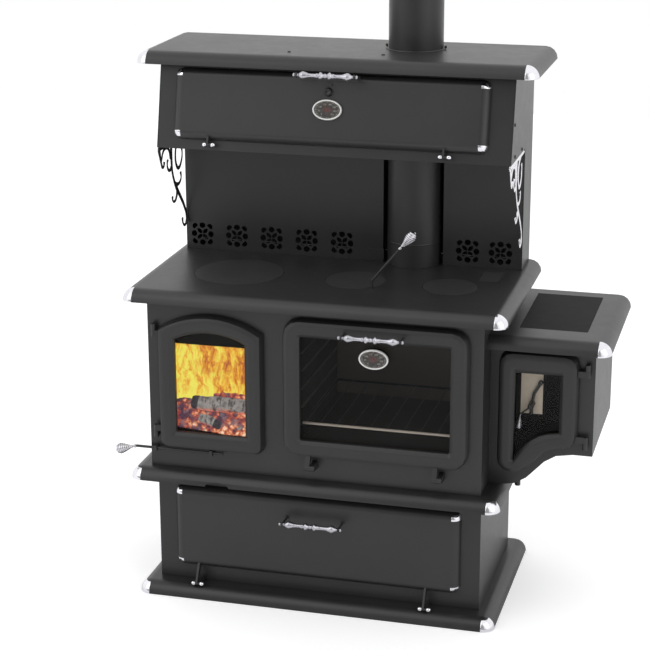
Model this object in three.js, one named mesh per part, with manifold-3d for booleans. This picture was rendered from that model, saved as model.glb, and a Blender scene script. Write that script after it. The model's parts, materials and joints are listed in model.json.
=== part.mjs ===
// Wood cookstove with an oven, a warming closet above the cooktop and a water reservoir at its right side.
// Millimetres, +Z up. The origin lies on the floor, on the stove's centre line, in the plane of the body's front;
// the front faces -Y and +X is to the right of someone who stands before the stove.

import * as THREE from 'three';
import { mergeVertices } from 'three/addons/utils/BufferGeometryUtils.js';
import Module from 'manifold-3d';

const wasm = await Module();
wasm.setup();

// -------------------------------------------------------------------------------------------------
// Driving dimensions
// -------------------------------------------------------------------------------------------------

// Fits and sheet metal
const seatGap = 0.3;              // between pieces that rest on each other
const sheet = 3;                  // formed sheet of shelves and casings
const thinSheet = 2.5;            // sheet of the upper casing, closet and backsplash
const rollRadius = 34;            // rounded edge of the plinth, the shelves and the tops
const doorRollRadius = 24;        // rounded edge of the two sheet-metal doors
const capThickness = 3;           // wall of the nickel corner caps
const capProud = 0.8;             // by which a cap stands out of its rounded edge
const weldOverlap = 0.5;          // by which welded pieces run into each other

// Body. What lies across the stove follows its width.
const bodyWidth = 940;
const halfBody = bodyWidth / 2;
const bodyBack = 547;
const frontPlate = 6;
const fireDoorInset = 184;          // of its centre line from the body's left side
const fireDoorCentre = fireDoorInset - halfBody;
const doorsShare = 426;             // of the width, beside the oven door
const ovenDoorWidth = bodyWidth - doorsShare;
const ovenDoorInset = 35.5;         // from the body's right side
const ovenDoorCentre = halfBody - ovenDoorInset - ovenDoorWidth / 2;
const flueInset = 287;              // of the pipe's centre line from the body's right side
const flueX = halfBody - flueInset;

// Plinth and base cabinet
const plinthOverhang = 45;
const plinthWidth = bodyWidth + 2 * plinthOverhang;
const plinthFront = -28;
const plinthBack = 546;
const baseInset = 5;
const baseWidth = bodyWidth - 2 * baseInset;
const baseFront = 37;
const baseBack = 507;
const openingLip = 26;            // sheet left behind the edge of the closet and storage doors

// Storage door
const storageDoorMargin = 53.5;     // of the cabinet beside the door
const storageDoorWidth = baseWidth - 2 * storageDoorMargin;
const storageDoorBottom = 80;
const storageDoorHeight = 246;
const storageHandleHeight = 182;  // above the door's lower edge
const storageHingeDrop = 39;      // pin below the door's lower edge

// Middle shelf
const midShelfTop = 390;
const midShelfOverhang = 54;
const midShelfWidth = bodyWidth + 2 * midShelfOverhang;
const midShelfFront = -44;
const midShelfBack = 549;
const notchOffset = 20;
const notchCentre = fireDoorCentre + notchOffset;
const notchWidth = 68;
const notchHeight = 14;

// Cooktop
const cooktopTop = 909;
const cooktopOverhang = 64;
const cooktopWidth = bodyWidth + 2 * cooktopOverhang;
const cooktopFront = -41;
const cooktopBack = 549;
const cooktopThickness = 8;
const hobPlateThickness = 4.7;
const hobPlateGap = 0.6;
const leftHobInset = 200;           // from the body's left side
const leftHobX = leftHobInset - halfBody;
const leftHobRadius = 126;
const middleHobOffset = 116;        // from the pipe
const middleHobX = flueX - middleHobOffset;
const middleHobRadius = 84;
const rightHobInset = 136;
const rightHobX = halfBody - rightHobInset;
const rightHobRadius = 76;
const hobPlateY = 212;
const cleanoutInset = 45;
const cleanoutX = halfBody - cleanoutInset;
const cleanoutY = 340;
const cleanoutWidth = 57;
const cleanoutDepth = 95;

// Cast frames of the three glazed doors
const frameWidth = 49;
const frameDepth = 30;
const glassThickness = 5;

// Fire door
const fireDoorBottom = 454;
const fireDoorWidth = 300;
const fireDoorSide = 346;         // height of the straight sides
const fireDoorRise = 46;          // of the arch above them
const fireDoorCorner = 22;

// Oven door
const ovenDoorBottom = 462;
const ovenDoorHeight = 395;
const ovenDoorCorner = 46;
const ovenHandleHeight = 367;     // above the door's lower edge
const ovenDialHeight = 302;
const ovenHingeMargin = 80;
const ovenHingeSpacing = ovenDoorWidth - 2 * ovenHingeMargin;
const ovenHingeDrop = 25;         // pin below the door's lower edge
const ovenHingeStandoff = 34;     // pin in front of the body

// Firebox
const fireboxInset = 15;
const fireboxLeft = fireboxInset - halfBody;
const fireboxWidth = 338;
const fireboxRight = fireboxLeft + fireboxWidth;
const fireboxBack = 470;
const fireboxTop = 821;
const fireboxWall = 5;
const ashFloor = 440;
const grateTop = 505;
const grateThickness = 12;
const grateSlotWidth = 12;
const grateSlots = 9;
const brickThickness = 30;
const brickTop = 758;
const brickJoint = 3;
const sideBricks = 3;
const ashPanHeight = 42;
const baffleFront = 90;

// Oven
const ovenMargin = 39.5;            // between the edges of the oven door and the oven
const ovenLeft = ovenDoorCentre - ovenDoorWidth / 2 + ovenMargin;
const ovenRight = ovenDoorCentre + ovenDoorWidth / 2 - ovenMargin;
const ovenBottom = 500;
const ovenTop = 818;
const ovenDepth = 420;
const ovenWall = 3;
const ledgePitch = 51.5;
const lowestLedge = 541;
const ledges = 5;
const ledgeWidth = 9;
const rackWires = 8;
const rackWireRadius = 2.2;
const rackBarRadius = 4;

// Flue
const flueY = 435;
const flueRadius = 76.2;
const flueWall = 2;
const flueTop = 1700;
const collarHeight = 40;
const collarFlange = 88;
const beadHeight = 68;            // of the pipe's bead above the cooktop
const flangeRadius = 84;

// Backsplash and warming closet
const closetOverhang = 27;
const closetWidth = bodyWidth + 2 * closetOverhang;
const closetBack = 547;
const closetBottom = 1258;
const closetFront = 190;          // at its lower edge
const closetLean = 12.9;          // degrees
const splashFront = 421;
const splashGap = 174;              // in the backsplash, where the pipe passes
const splashGapLeft = flueX - splashGap / 2;
const splashGapRight = flueX + splashGap / 2;
const splashReturn = 18;
const rosetteHeight = 955;
const leftRosettes = 5;
const rosetteInset = 22;
const leftRosetteX = rosetteInset - halfBody;
const rightRosettes = 2;
const rightRosetteOffset = 71;
const rightRosetteX = splashGapRight + rightRosetteOffset;
const rightRosettePitch = 94;
const lastRosetteOffset = 122;      // from the gap for the pipe
const leftRosettePitch = (splashGapLeft - lastRosetteOffset - leftRosetteX) / (leftRosettes - 1);
const rosetteOvalRadius = 25.5;
const rosetteWedgeRadius = 31;
const smallPlateOffset = 23;
const smallPlateX = splashGapLeft - smallPlateOffset;
const smallPlateZ = 930;
const smallPlateWidth = 51;
const smallPlateHeight = 30;

// Closet door
const closetDoorCentre = -7;
const closetDoorMargin = 57;
const closetDoorWidth = closetWidth - 2 * closetDoorMargin;
const closetDoorStart = 27;       // up the leaning face from the closet's lower edge
const closetDoorHeight = 198;
const closetHandleHeight = 186;
const closetRollDrop = 4;         // of the rolled edge behind the handle's posts
const closetDialHeight = 98;
const closetKnobHeight = 146;
const closetHingeDrop = 12;

// Hinges of the two sheet-metal doors
const dropHingeSpacing = 660;
const storageHingeStandoff = 47;  // pin in front of the cabinet
const storageHingeShift = -10;    // of the pair from the door's middle
const closetHingeStandoff = 20;
const closetHingeShift = -3;
const dropHingeEye = 6;
const dropPinRadius = 2.6;
const dropBallRadius = 5.8;

// Top shelf
const shelfTop = 1523;
const shelfOverhang = 62;
const shelfWidth = closetWidth + 2 * shelfOverhang;
const shelfFront = 195;
const shelfBack = 557;

// Scroll brackets
const bracketThickness = 5;
const bracketInset = 1;

// Turned handles
const handleStandoff = 45;
const handleHalfLength = 91;
const postOffset = 80;
const postRadius = 3.4;
const postEyeRadius = 7;
const handleNeck = 4;

// Thermometers
const dialHalfWidth = 41;
const dialHalfHeight = 28;
const bezelWidth = 5;
const closetBezelDepth = 9;

// Side cabinet
const sideWidth = 283;
const sideRight = halfBody + sideWidth;
const sideFront = 98;
const sideBack = 500;
const sideHigh = 495;             // underside at the right
const curveInset = 30;
const curveStart = halfBody + curveInset;
const curveLength = 200;
const curveEnd = curveStart + curveLength;
const sideTopHeight = 829;
const sideTopOverhang = 44;
const sideTopRight = sideRight + sideTopOverhang;
const sideTopFront = 39;
const sideTopBack = 522;
const lidInset = 68;
const lidLeft = halfBody + lidInset;
const lidWidth = 184;
const lidRight = lidLeft + lidWidth;
const lidFront = 145;
const lidBack = 480;
const lidGap = 0.6;

// Side door
const sideDoorInset = 26;
const sideDoorLeft = halfBody + sideDoorInset;
const sideDoorWidth = 216;
const sideDoorRight = sideDoorLeft + sideDoorWidth;
const sideDoorBottom = 436;
const sideDoorStep = 80;          // rise of its lower edge
const sideDoorDrop = 45;            // below the side top
const sideDoorTop = sideTopHeight - sideDoorDrop;
const sideDoorCorner = 36;
const sideWindowInset = 45;
const sideWindowLeft = sideDoorLeft + sideWindowInset;
const sideWindowWidth = 123;
const sideWindowRight = sideWindowLeft + sideWindowWidth;
const sideWindowDrop = 60;
const sideWindowTop = sideDoorTop - sideWindowDrop;
const sideWindowLow = 474;
const sideWindowHigh = 560;

// Water tank
const tankFront = 160;
const tankInset = 8;                // from the lid
const tankLeft = lidLeft + tankInset;
const tankRight = lidRight - tankInset;
const tankBack = 472;
const tankBottom = 560;
const tankWall = 2;
const tankRim = 12;
const tapPlateLeft = tankLeft;
const tapPlateWidth = 60;
const tapPlateRight = tapPlateLeft + tapPlateWidth;
const tapPlateBottom = 582;
const tapInset = 32;
const tapX = tapPlateLeft + tapInset;
const tapSeat = 1.9;              // of the handle below the end of its lever
const tapHandleSize = 0.6;        // of the other two teardrop grips
const tapZ = 612;
const drainOffset = 49;
const drainX = sideDoorLeft + drainOffset;
const drainY = 150;
const drainBottom = 372;
const drainRadius = 8;

// Upright hinges of the fire and side doors
const knuckleRadius = 7;
const knuckleLength = 18;
const hingePinRadius = 3;
const hingeDepth = 15;
const fireHingeOffset = 12;
const fireLowerHinge = 45;        // joint of each hinge above the door's lower edge
const fireUpperHinge = 339;
const sideHingeOffset = 22;
const sideLowerHinge = 100;
const sideHingeDrop = 44;
const sideUpperHinge = sideDoorTop - sideDoorBottom - sideHingeDrop;

// Levers
const rodRadius = 4;
const teardropLength = 67;
const teardropRadius = 16;
const damperOffset = 53;            // from the pipe
const damperX = flueX - damperOffset;
const damperY = 147;
const damperBend = 931;
const damperReach = 74;
const damperRise = 90;
const bladeWidth = 90;
const bladeHeight = 66;
const airRodZ = 446;
const airRodY = -12;
const airRodOffset = 31;
const airRodStart = fireDoorCentre + airRodOffset;
const airRodReach = 40;
const airRodEnd = -halfBody - airRodReach;
const airTravel = 30;

const degree = Math.PI / 180;
const deep = 1000;                // reach of a cut that runs right through
const rollSteps = 2;              // pairs of facets in a quarter round
const capSteps = 3;
const smallRound = 8;             // facets round a bore or a pin
const largeRound = 24;            // facets round the flue

// -------------------------------------------------------------------------------------------------
// Solids: closed meshes joined and cut
// -------------------------------------------------------------------------------------------------

// Swaps the winding of every triangle if the mesh is inside out.
function outward(indices, positions) {
  let volume = 0;
  const a = new THREE.Vector3();
  const b = new THREE.Vector3();
  const c = new THREE.Vector3();
  for (let i = 0; i < indices.length; i += 3) {
    a.fromArray(positions, 3 * indices[i]);
    b.fromArray(positions, 3 * indices[i + 1]);
    c.fromArray(positions, 3 * indices[i + 2]);
    volume += a.dot(b.cross(c));
  }
  if (volume < 0) {
    for (let i = 0; i < indices.length; i += 3) {
      [indices[i], indices[i + 1]] = [indices[i + 1], indices[i]];
    }
  }
  return indices;
}

function solid(geometry) {
  const bare = geometry.clone();
  bare.deleteAttribute('normal');
  bare.deleteAttribute('uv');
  const merged = mergeVertices(bare, 1e-4);
  const positions = merged.attributes.position.array;
  const index = merged.index.array;
  const kept = [];
  for (let i = 0; i < index.length; i += 3) {
    const [a, b, c] = [index[i], index[i + 1], index[i + 2]];
    if (a !== b && b !== c && c !== a) {
      kept.push(a, b, c);
    }
  }
  const vertProperties = new Float32Array(positions);
  const triVerts = new Uint32Array(outward(kept, positions));
  return new wasm.Manifold(new wasm.Mesh({ numProp: 3, vertProperties, triVerts }));
}

function geometryOf(body) {
  const mesh = body.getMesh();
  const geometry = new THREE.BufferGeometry();
  geometry.setAttribute('position', new THREE.BufferAttribute(new Float32Array(mesh.vertProperties), 3));
  geometry.setIndex(new THREE.BufferAttribute(new Uint32Array(mesh.triVerts), 1));
  geometry.computeVertexNormals();
  return geometry;
}

const join = (first, ...rest) => rest.reduce((sum, piece) => sum.add(piece), first);
const cut = (first, ...rest) => rest.reduce((left, piece) => left.subtract(piece), first);

function block(x0, x1, y0, y1, z0, z1) {
  const geometry = new THREE.BoxGeometry(x1 - x0, y1 - y0, z1 - z0);
  geometry.translate((x0 + x1) / 2, (y0 + y1) / 2, (z0 + z1) / 2);
  return solid(geometry);
}

// A shape drawn in the plane across one axis, extruded along that axis: (y, z) along X, (x, z) along Y, (x, y) along Z.
const extrudeBasis = {
  x: [[0, 1, 0], [0, 0, 1], [1, 0, 0]],
  y: [[1, 0, 0], [0, 0, 1], [0, -1, 0]],
  z: [[1, 0, 0], [0, 1, 0], [0, 0, 1]],
};

function prism(axis, shape, from, to, curveSegments = 8) {
  const geometry = new THREE.ExtrudeGeometry(shape, { depth: to - from, bevelEnabled: false,
    curveSegments });
  geometry.translate(0, 0, axis === 'y' ? -to : from);
  const [u, v, w] = extrudeBasis[axis].map((entries) => new THREE.Vector3(...entries));
  geometry.applyMatrix4(new THREE.Matrix4().makeBasis(u, v, w));
  return solid(geometry);
}

function polygon(points) {
  return new THREE.Shape(points.map(([u, v]) => new THREE.Vector2(u, v)));
}

function rectangle(u0, u1, v0, v1) {
  return polygon([[u0, v0], [u1, v0], [u1, v1], [u0, v1]]);
}

function disc(u, v, radius, segments) {
  const points = [];
  for (let i = 0; i < segments; i++) {
    const angle = (2 * Math.PI * i) / segments;
    points.push([u + radius * Math.cos(angle), v + radius * Math.sin(angle)]);
  }
  return polygon(points);
}

function roundBar(axis, u, v, radius, from, to, segments = 12) {
  return prism(axis, disc(u, v, radius, segments), from, to);
}

// A bore with room for a round of that radius.
function bore(axis, u, v, radius) {
  return roundBar(axis, u, v, (radius + seatGap) / Math.cos(Math.PI / smallRound), -deep, 2 * deep,
    smallRound);
}

// A body turned from a profile of [distance along the axis, radius]; it starts and ends on the axis.
function turned(profile, segments = 12) {
  const points = profile.map(([along, radius]) => new THREE.Vector2(radius, along));
  return new THREE.LatheGeometry(points, segments);
}

// A turned body with its axis laid from one point towards another.
function turnedTowards(profile, start, direction, segments = 12) {
  const geometry = turned(profile, segments);
  const up = new THREE.Vector3(0, 1, 0);
  geometry.applyQuaternion(new THREE.Quaternion().setFromUnitVectors(up, direction.clone().normalize()));
  geometry.translate(start.x, start.y, start.z);
  return solid(geometry);
}

function rodBetween(start, end, radius, segments = 10) {
  const length = start.distanceTo(end);
  const profile = [[0, 0], [0, radius], [length, radius], [length, 0]];
  return turnedTowards(profile, start, end.clone().sub(start), segments);
}

// A stack of convex rings with the same number of points, closed by its first and its last ring.
function loftStack(rings) {
  const count = rings[0].length;
  const positions = rings.flat().flatMap((point) => point.toArray());
  const indices = [];
  for (let k = 0; k < rings.length - 1; k++) {
    for (let i = 0; i < count; i++) {
      const j = (i + 1) % count;
      const [a, b, c, d] = [k * count + i, k * count + j, (k + 1) * count + j, (k + 1) * count + i];
      indices.push(a, b, c, a, c, d);
    }
  }
  const last = (rings.length - 1) * count;
  for (let i = 1; i < count - 1; i++) {
    indices.push(0, i + 1, i, last, last + i, last + i + 1);
  }
  const geometry = new THREE.BufferGeometry();
  geometry.setAttribute('position', new THREE.Float32BufferAttribute(positions, 3));
  geometry.setIndex(indices);
  return solid(geometry);
}

// A closed ring of sections: rings[k] is a loop of points, and the last ring meets the first.
function loftRing(rings) {
  const count = rings[0].length;
  const positions = rings.flat().flatMap((point) => point.toArray());
  const indices = [];
  rings.forEach((ring, k) => {
    const next = (k + 1) % rings.length;
    for (let i = 0; i < count; i++) {
      const j = (i + 1) % count;
      const [a, b, c, d] = [k * count + i, k * count + j, next * count + j, next * count + i];
      indices.push(a, b, c, a, c, d);
    }
  });
  const geometry = new THREE.BufferGeometry();
  geometry.setAttribute('position', new THREE.Float32BufferAttribute(positions, 3));
  geometry.setIndex(indices);
  return solid(geometry);
}

const cornerSteps = 3;

function arcPoints(u, v, radius, from, to, steps = cornerSteps) {
  const points = [];
  for (let i = 0; i <= steps; i++) {
    const angle = from + ((to - from) * i) / steps;
    points.push(new THREE.Vector2(u + radius * Math.cos(angle), v + radius * Math.sin(angle)));
  }
  return points;
}

// The points of a rectangle grown by that radius, with round corners.
function roundedRectangle(u0, u1, v0, v1, radius) {
  return [
    ...arcPoints(u0, v0, radius, Math.PI, 1.5 * Math.PI),
    ...arcPoints(u1, v0, radius, 1.5 * Math.PI, 2 * Math.PI),
    ...arcPoints(u1, v1, radius, 0, 0.5 * Math.PI),
    ...arcPoints(u0, v1, radius, 0.5 * Math.PI, Math.PI),
  ];
}

// -------------------------------------------------------------------------------------------------
// Rolled sheet and its corner caps
// -------------------------------------------------------------------------------------------------

// Outline of a level: flat on top, with a quarter round down to its lower edge at each rolled end.
function rolledProfile(low, high, top, depth, radius, rollLow, rollHigh) {
  const shape = new THREE.Shape();
  shape.moveTo(low, top - depth);
  shape.lineTo(high, top - depth);
  if (rollHigh) {
    shape.lineTo(high, top - radius);
    shape.absarc(high - radius, top - radius, radius, 0, Math.PI / 2);
  } else {
    shape.lineTo(high, top);
  }
  if (rollLow) {
    shape.lineTo(low + radius, top);
    shape.absarc(low + radius, top - radius, radius, Math.PI / 2, Math.PI);
  } else {
    shape.lineTo(low, top);
  }
  return shape;
}

// A sheet in the XY plane with quarter-round edges on the sides that are rolled; where two rolls meet, the corner is
// left open for its cap. A floor closes it below at that thickness.
function rolledSheet({ x0, x1, y0, y1, top, radius, thickness, rolls, floor = 0 }) {
  const rolled = (side) => rolls.includes(side);
  const body = (inset, depth) => {
    const edge = (side) => (rolled(side) ? inset : -inset);
    const across = rolledProfile(x0 + edge('left'), x1 - edge('right'), top - inset, depth,
      radius - inset,
      rolled('left'), rolled('right'));
    const along = rolledProfile(y0 + edge('front'), y1 - edge('back'), top - inset, depth, radius - inset,
      rolled('front'), rolled('back'));
    return prism('y', across, y0 - deep, y1 + deep, rollSteps).intersect(prism('x', along, x0 - deep,
      x1 + deep,
      rollSteps));
  };
  let hollow = body(thickness, radius + thickness);
  if (floor > 0) {
    hollow = hollow.intersect(block(x0 - deep, x1 + deep, y0 - deep, y1 + 2 * deep, top - radius + floor,
      top));
  }
  let shell = cut(body(0, radius), hollow);
  for (const [sideX, sideY] of [['left', 'front'], ['right', 'front'], ['left', 'back'],
    ['right', 'back']]) {
    if (rolled(sideX) && rolled(sideY)) {
      const xs = sideX === 'left' ? [x0 - deep, x0 + radius] : [x1 - radius, x1 + deep];
      const ys = sideY === 'front' ? [y0 - deep, y0 + radius] : [y1 - radius, y1 + deep];
      shell = cut(shell, block(...xs, ...ys, -deep, 2 * deep));
    }
  }
  return shell;
}

// An eighth of a ball's wall, which closes the corner between two rolled edges.
function cornerCap(centreX, centreY, centreZ, signX, signY, radius) {
  const steps = capSteps;
  const outer = radius - seatGap + capProud;
  const centre = new THREE.Vector3(centreX + signX * seatGap, centreY + signY * seatGap, centreZ);
  const at = (r, i, j) => {
    const around = (i / steps) * (Math.PI / 2);
    const up = (j / steps) * (Math.PI / 2);
    return new THREE.Vector3(signX * Math.cos(up) * Math.cos(around),
      signY * Math.cos(up) * Math.sin(around),
      Math.sin(up)).multiplyScalar(r).add(centre);
  };
  const rings = [];
  for (let i = 0; i <= steps; i++) {
    const ring = [];
    for (let j = 0; j <= steps; j++) {
      ring.push(at(outer, i, j));
    }
    for (let j = steps; j >= 0; j--) {
      ring.push(at(outer - capThickness, i, j));
    }
    rings.push(ring);
  }
  const count = rings[0].length;
  const positions = rings.flat().flatMap((point) => point.toArray());
  const indices = [];
  for (let k = 0; k < steps; k++) {
    for (let i = 0; i < count; i++) {
      const j = (i + 1) % count;
      const [a, b, c, d] = [k * count + i, k * count + j, (k + 1) * count + j, (k + 1) * count + i];
      indices.push(a, b, c, a, c, d);
    }
  }
  for (let j = 0; j < steps; j++) {
    const [a, b, c, d] = [j, j + 1, count - 2 - j, count - 1 - j];
    indices.push(a, c, b, a, d, c);
    const last = steps * count;
    indices.push(last + a, last + b, last + c, last + a, last + c, last + d);
  }
  const geometry = new THREE.BufferGeometry();
  geometry.setAttribute('position', new THREE.Float32BufferAttribute(positions, 3));
  geometry.setIndex(indices);
  return solid(geometry);
}

// The caps of a rolled sheet, seated beside its rolls.
function sheetCaps({ x0, x1, y0, y1, top, radius, rolls }) {
  const caps = [];
  for (const [sideX, sideY] of [['left', 'front'], ['right', 'front'], ['left', 'back'],
    ['right', 'back']]) {
    if (rolls.includes(sideX) && rolls.includes(sideY)) {
      const signX = sideX === 'left' ? -1 : 1;
      const signY = sideY === 'front' ? -1 : 1;
      const x = signX < 0 ? x0 + radius : x1 - radius;
      const y = signY < 0 ? y0 + radius : y1 - radius;
      caps.push(cornerCap(x, y, top - radius, signX, signY, radius));
    }
  }
  return caps;
}

// A rolled sheet with its corner caps welded in: the rolls run on round the corners as parts of a ball.
function roundedPan({ x0, x1, y0, y1, top, radius, thickness, rolls, floor = 0 }) {
  const back = rolls.includes('back') ? y1 : y1 + 2 * radius;
  const levels = 2 * rollSteps;
  const bottom = top - radius;
  const body = (inset, low) => {
    const curve = radius - inset;
    const ring = (r, z) => roundedRectangle(x0 + radius, x1 - radius, y0 + radius, back - radius, r)
      .map((point) => new THREE.Vector3(point.x, point.y, z));
    const start = Math.asin(Math.max(0, low - bottom) / curve);
    const rings = low < bottom ? [ring(curve, low)] : [];
    for (let i = 0; i <= levels; i++) {
      const angle = start + (i / levels) * (Math.PI / 2 - start);
      rings.push(ring(curve * Math.cos(angle), bottom + curve * Math.sin(angle)));
    }
    return loftStack(rings);
  };
  const outer = body(0, floor > 0 ? bottom : bottom - weldOverlap);
  const inner = body(thickness, floor > 0 ? bottom + floor : bottom - thickness);
  const openBack = block(x0 - deep, x1 + deep, y1, y1 + deep, -deep, 2 * deep);
  const belowRim = block(x0 - deep, x1 + deep, y0 - deep, y1 + deep, bottom - deep, bottom);
  return floor > 0 ? cut(outer, inner, openBack) : cut(outer, inner, openBack, belowRim);
}

const threeEdges = ['left', 'right', 'front'];
const level = (width, front, back, top, thickness = sheet) => ({
  x0: -width / 2, x1: width / 2, y0: front, y1: back, top, radius: rollRadius, thickness,
    rolls: threeEdges,
});
const plinth = { ...level(plinthWidth, plinthFront, plinthBack, rollRadius), floor: sheet };
const midShelf = level(midShelfWidth, midShelfFront, midShelfBack, midShelfTop);
const cooktop = level(cooktopWidth, cooktopFront, cooktopBack, cooktopTop, cooktopThickness);
const topShelf = level(shelfWidth, shelfFront, shelfBack, shelfTop);
const sideTop = {
  x0: bodyWidth / 2 + seatGap, x1: sideTopRight, y0: sideTopFront, y1: sideTopBack, top: sideTopHeight,
  radius: rollRadius, thickness: sheet, rolls: ['right', 'front'],
};

// -------------------------------------------------------------------------------------------------
// Base
// -------------------------------------------------------------------------------------------------

const baseBottom = rollRadius + seatGap;
const baseTop = midShelfTop - sheet - seatGap;

const storageHinge = { shift: storageHingeShift, drop: storageHingeDrop, standoff: storageHingeStandoff };
const closetHinge = { shift: closetHingeShift, drop: closetHingeDrop, standoff: closetHingeStandoff };
const dropEye = dropBallRadius - 0.8;
const dropHingeXs = (hinge) => [-1, 1].map((side) => hinge.shift + (side * dropHingeSpacing) / 2);

// The fixed half of the drop hinges, in the frame of the door: x across, y up the face, z out of it.
function fixedDropLugs(hinge) {
  const { drop, standoff } = hinge;
  return join(...dropHingeXs(hinge).map((x) => {
    const arm = block(x + seatGap, x + dropHingeEye, -drop - dropEye, -drop + dropEye, -thinSheet / 2,
      standoff);
    const round = roundBar('x', -drop, standoff, dropEye, x + seatGap, x + dropHingeEye, smallRound);
    return cut(join(arm, round), bore('x', -drop, standoff, dropPinRadius));
  }));
}

// Moves a solid out of a door's own frame into the stove's: x across, y up the face, z out of it.
function doorMatrix(x, y, z, lean = 0) {
  const turn = new THREE.Matrix4().makeRotationX(Math.PI / 2 - lean * degree);
  return new THREE.Matrix4().makeTranslation(x, y, z).multiply(turn);
}

function moved(body, matrix) {
  const geometry = geometryOf(body);
  geometry.applyMatrix4(matrix);
  return solid(geometry);
}

function baseCabinet() {
  const half = baseWidth / 2;
  const doorHalf = storageDoorWidth / 2 - openingLip;
  const shell = cut(
    block(-half, half, baseFront, baseBack, baseBottom, baseTop),
    block(-half + sheet, half - sheet, baseFront + sheet, baseBack - sheet, baseBottom + sheet,
      baseTop - sheet),
    block(-doorHalf, doorHalf, baseFront - sheet, baseFront + 2 * sheet, storageDoorBottom + openingLip,
      storageDoorBottom + storageDoorHeight - openingLip),
  );
  const place = doorMatrix(0, baseFront, storageDoorBottom);
  return join(shell, moved(fixedDropLugs(storageHinge), place));
}

function midShelfSheet() {
  const notch = new THREE.Shape();
  const low = midShelfTop - rollRadius;
  notch.moveTo(notchCentre - notchWidth / 2, low - notchHeight);
  notch.lineTo(notchCentre + notchWidth / 2, low - notchHeight);
  notch.lineTo(notchCentre + notchWidth / 2, low);
  notch.absellipse(notchCentre, low, notchWidth / 2, notchHeight, 0, Math.PI);
  const cutter = prism('y', notch, midShelfFront - sheet, midShelfFront + rollRadius, 8);
  return cut(roundedPan(midShelf), cutter);
}

// -------------------------------------------------------------------------------------------------
// Outlines of the glazed doors, each in the frame of its door: x across, y up
// -------------------------------------------------------------------------------------------------

function archOutline(inset, corner) {
  const half = fireDoorWidth / 2;
  const radius = (half * half + fireDoorRise * fireDoorRise) / (2 * fireDoorRise);
  const centre = fireDoorSide + fireDoorRise - radius;
  const halfIn = half - inset;
  const arch = radius - inset;
  const end = Math.acos(halfIn / arch);
  return [
    ...arcPoints(-halfIn + corner, inset + corner, corner, Math.PI, 1.5 * Math.PI),
    ...arcPoints(halfIn - corner, inset + corner, corner, 1.5 * Math.PI, 2 * Math.PI),
    ...arcPoints(0, centre, arch, end, Math.PI - end, 10),
  ];
}

function roundedOutline(width, height, inset, corner) {
  const edge = inset + corner;
  return roundedRectangle(-width / 2 + edge, width / 2 - edge, edge, height - edge, corner);
}

function bezierPoints(start, control1, control2, end, steps) {
  const points = [start, control1, control2, end].map(([u, v]) => new THREE.Vector2(u, v));
  const curve = new THREE.CubicBezierCurve(...points);
  return curve.getPoints(steps);
}

const sideDoorMiddle = (sideDoorLeft + sideDoorRight) / 2;
const sideCurveSteps = 6;

// The side door's outline: its lower edge steps up to the right in an S-curve.
function sideDoorOutline() {
  const left = sideDoorLeft - sideDoorMiddle;
  const right = sideDoorRight - sideDoorMiddle;
  const top = sideDoorTop - sideDoorBottom;
  const c = sideDoorCorner;
  const run = (right - left) / 2;
  return [
    ...arcPoints(left + c, c, c, Math.PI, 1.5 * Math.PI),
    ...bezierPoints([left + c + 8, 0], [left + c + 0.6 * run, 0], [right - c - 0.6 * run, sideDoorStep],
      [right - c - 8, sideDoorStep], sideCurveSteps),
    ...arcPoints(right - c, sideDoorStep + c, c, 1.5 * Math.PI, 2 * Math.PI),
    ...arcPoints(right - c, top - c, c, 0, 0.5 * Math.PI),
    ...arcPoints(left + c, top - c, c, 0.5 * Math.PI, Math.PI),
  ];
}

function sideWindowOutline() {
  const left = sideWindowLeft - sideDoorMiddle;
  const right = sideWindowRight - sideDoorMiddle;
  const low = sideWindowLow - sideDoorBottom;
  const high = sideWindowHigh - sideDoorBottom;
  const top = sideWindowTop - sideDoorBottom;
  const c = 2;
  const run = right - left;
  return [
    ...arcPoints(left + c, low + c, c, Math.PI, 1.75 * Math.PI),
    ...bezierPoints([left + 2 * c, low + 2 * c], [left + 0.2 * run, low + 0.55 * (high - low)],
      [left + 0.5 * run, high - 2 * c], [right - 2 * c, high - c / 2], sideCurveSteps),
    ...arcPoints(right - c, high + c, c, 1.5 * Math.PI, 2 * Math.PI),
    ...arcPoints(right - c, top - c, c, 0, 0.5 * Math.PI),
    ...arcPoints(left + c, top - c, c, 0.5 * Math.PI, Math.PI),
  ];
}

const between = (outer, inner, share) => outer.map((point, i) => point.clone().lerp(inner[i], share));

// Cast frame: [share of the way from the outer edge to the window, height above the body]
const rebateShare = 0.7;
const rebateDepth = glassThickness + 4;
const frameSection = [
  [0, seatGap], [0.02, 0.5 * frameDepth], [0.12, 0.87 * frameDepth], [0.3, frameDepth], [0.8, frameDepth],
  [1, 0.72 * frameDepth], [1, rebateDepth], [rebateShare, rebateDepth], [rebateShare, seatGap],
];

function castFrame(outer, inner) {
  return loftRing(frameSection.map(([share, height]) => between(outer, inner, share)
    .map((point) => new THREE.Vector3(point.x, point.y, height))));
}

function pane(outer, inner) {
  const edge = between(outer, inner, rebateShare + 0.02);
  const shape = new THREE.Shape(edge);
  return prism('z', shape, rebateDepth - seatGap - glassThickness, rebateDepth - seatGap);
}

const fireOuter = archOutline(0, fireDoorCorner);
const fireInner = archOutline(frameWidth, 3);
const ovenOuter = roundedOutline(ovenDoorWidth, ovenDoorHeight, 0, ovenDoorCorner);
const ovenInner = roundedOutline(ovenDoorWidth, ovenDoorHeight, frameWidth, 6);
const sideOuter = sideDoorOutline();
const sideInner = sideWindowOutline();

// -------------------------------------------------------------------------------------------------
// Upright hinges: a fixed knuckle above the door's knuckle, on one pin
// -------------------------------------------------------------------------------------------------

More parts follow.
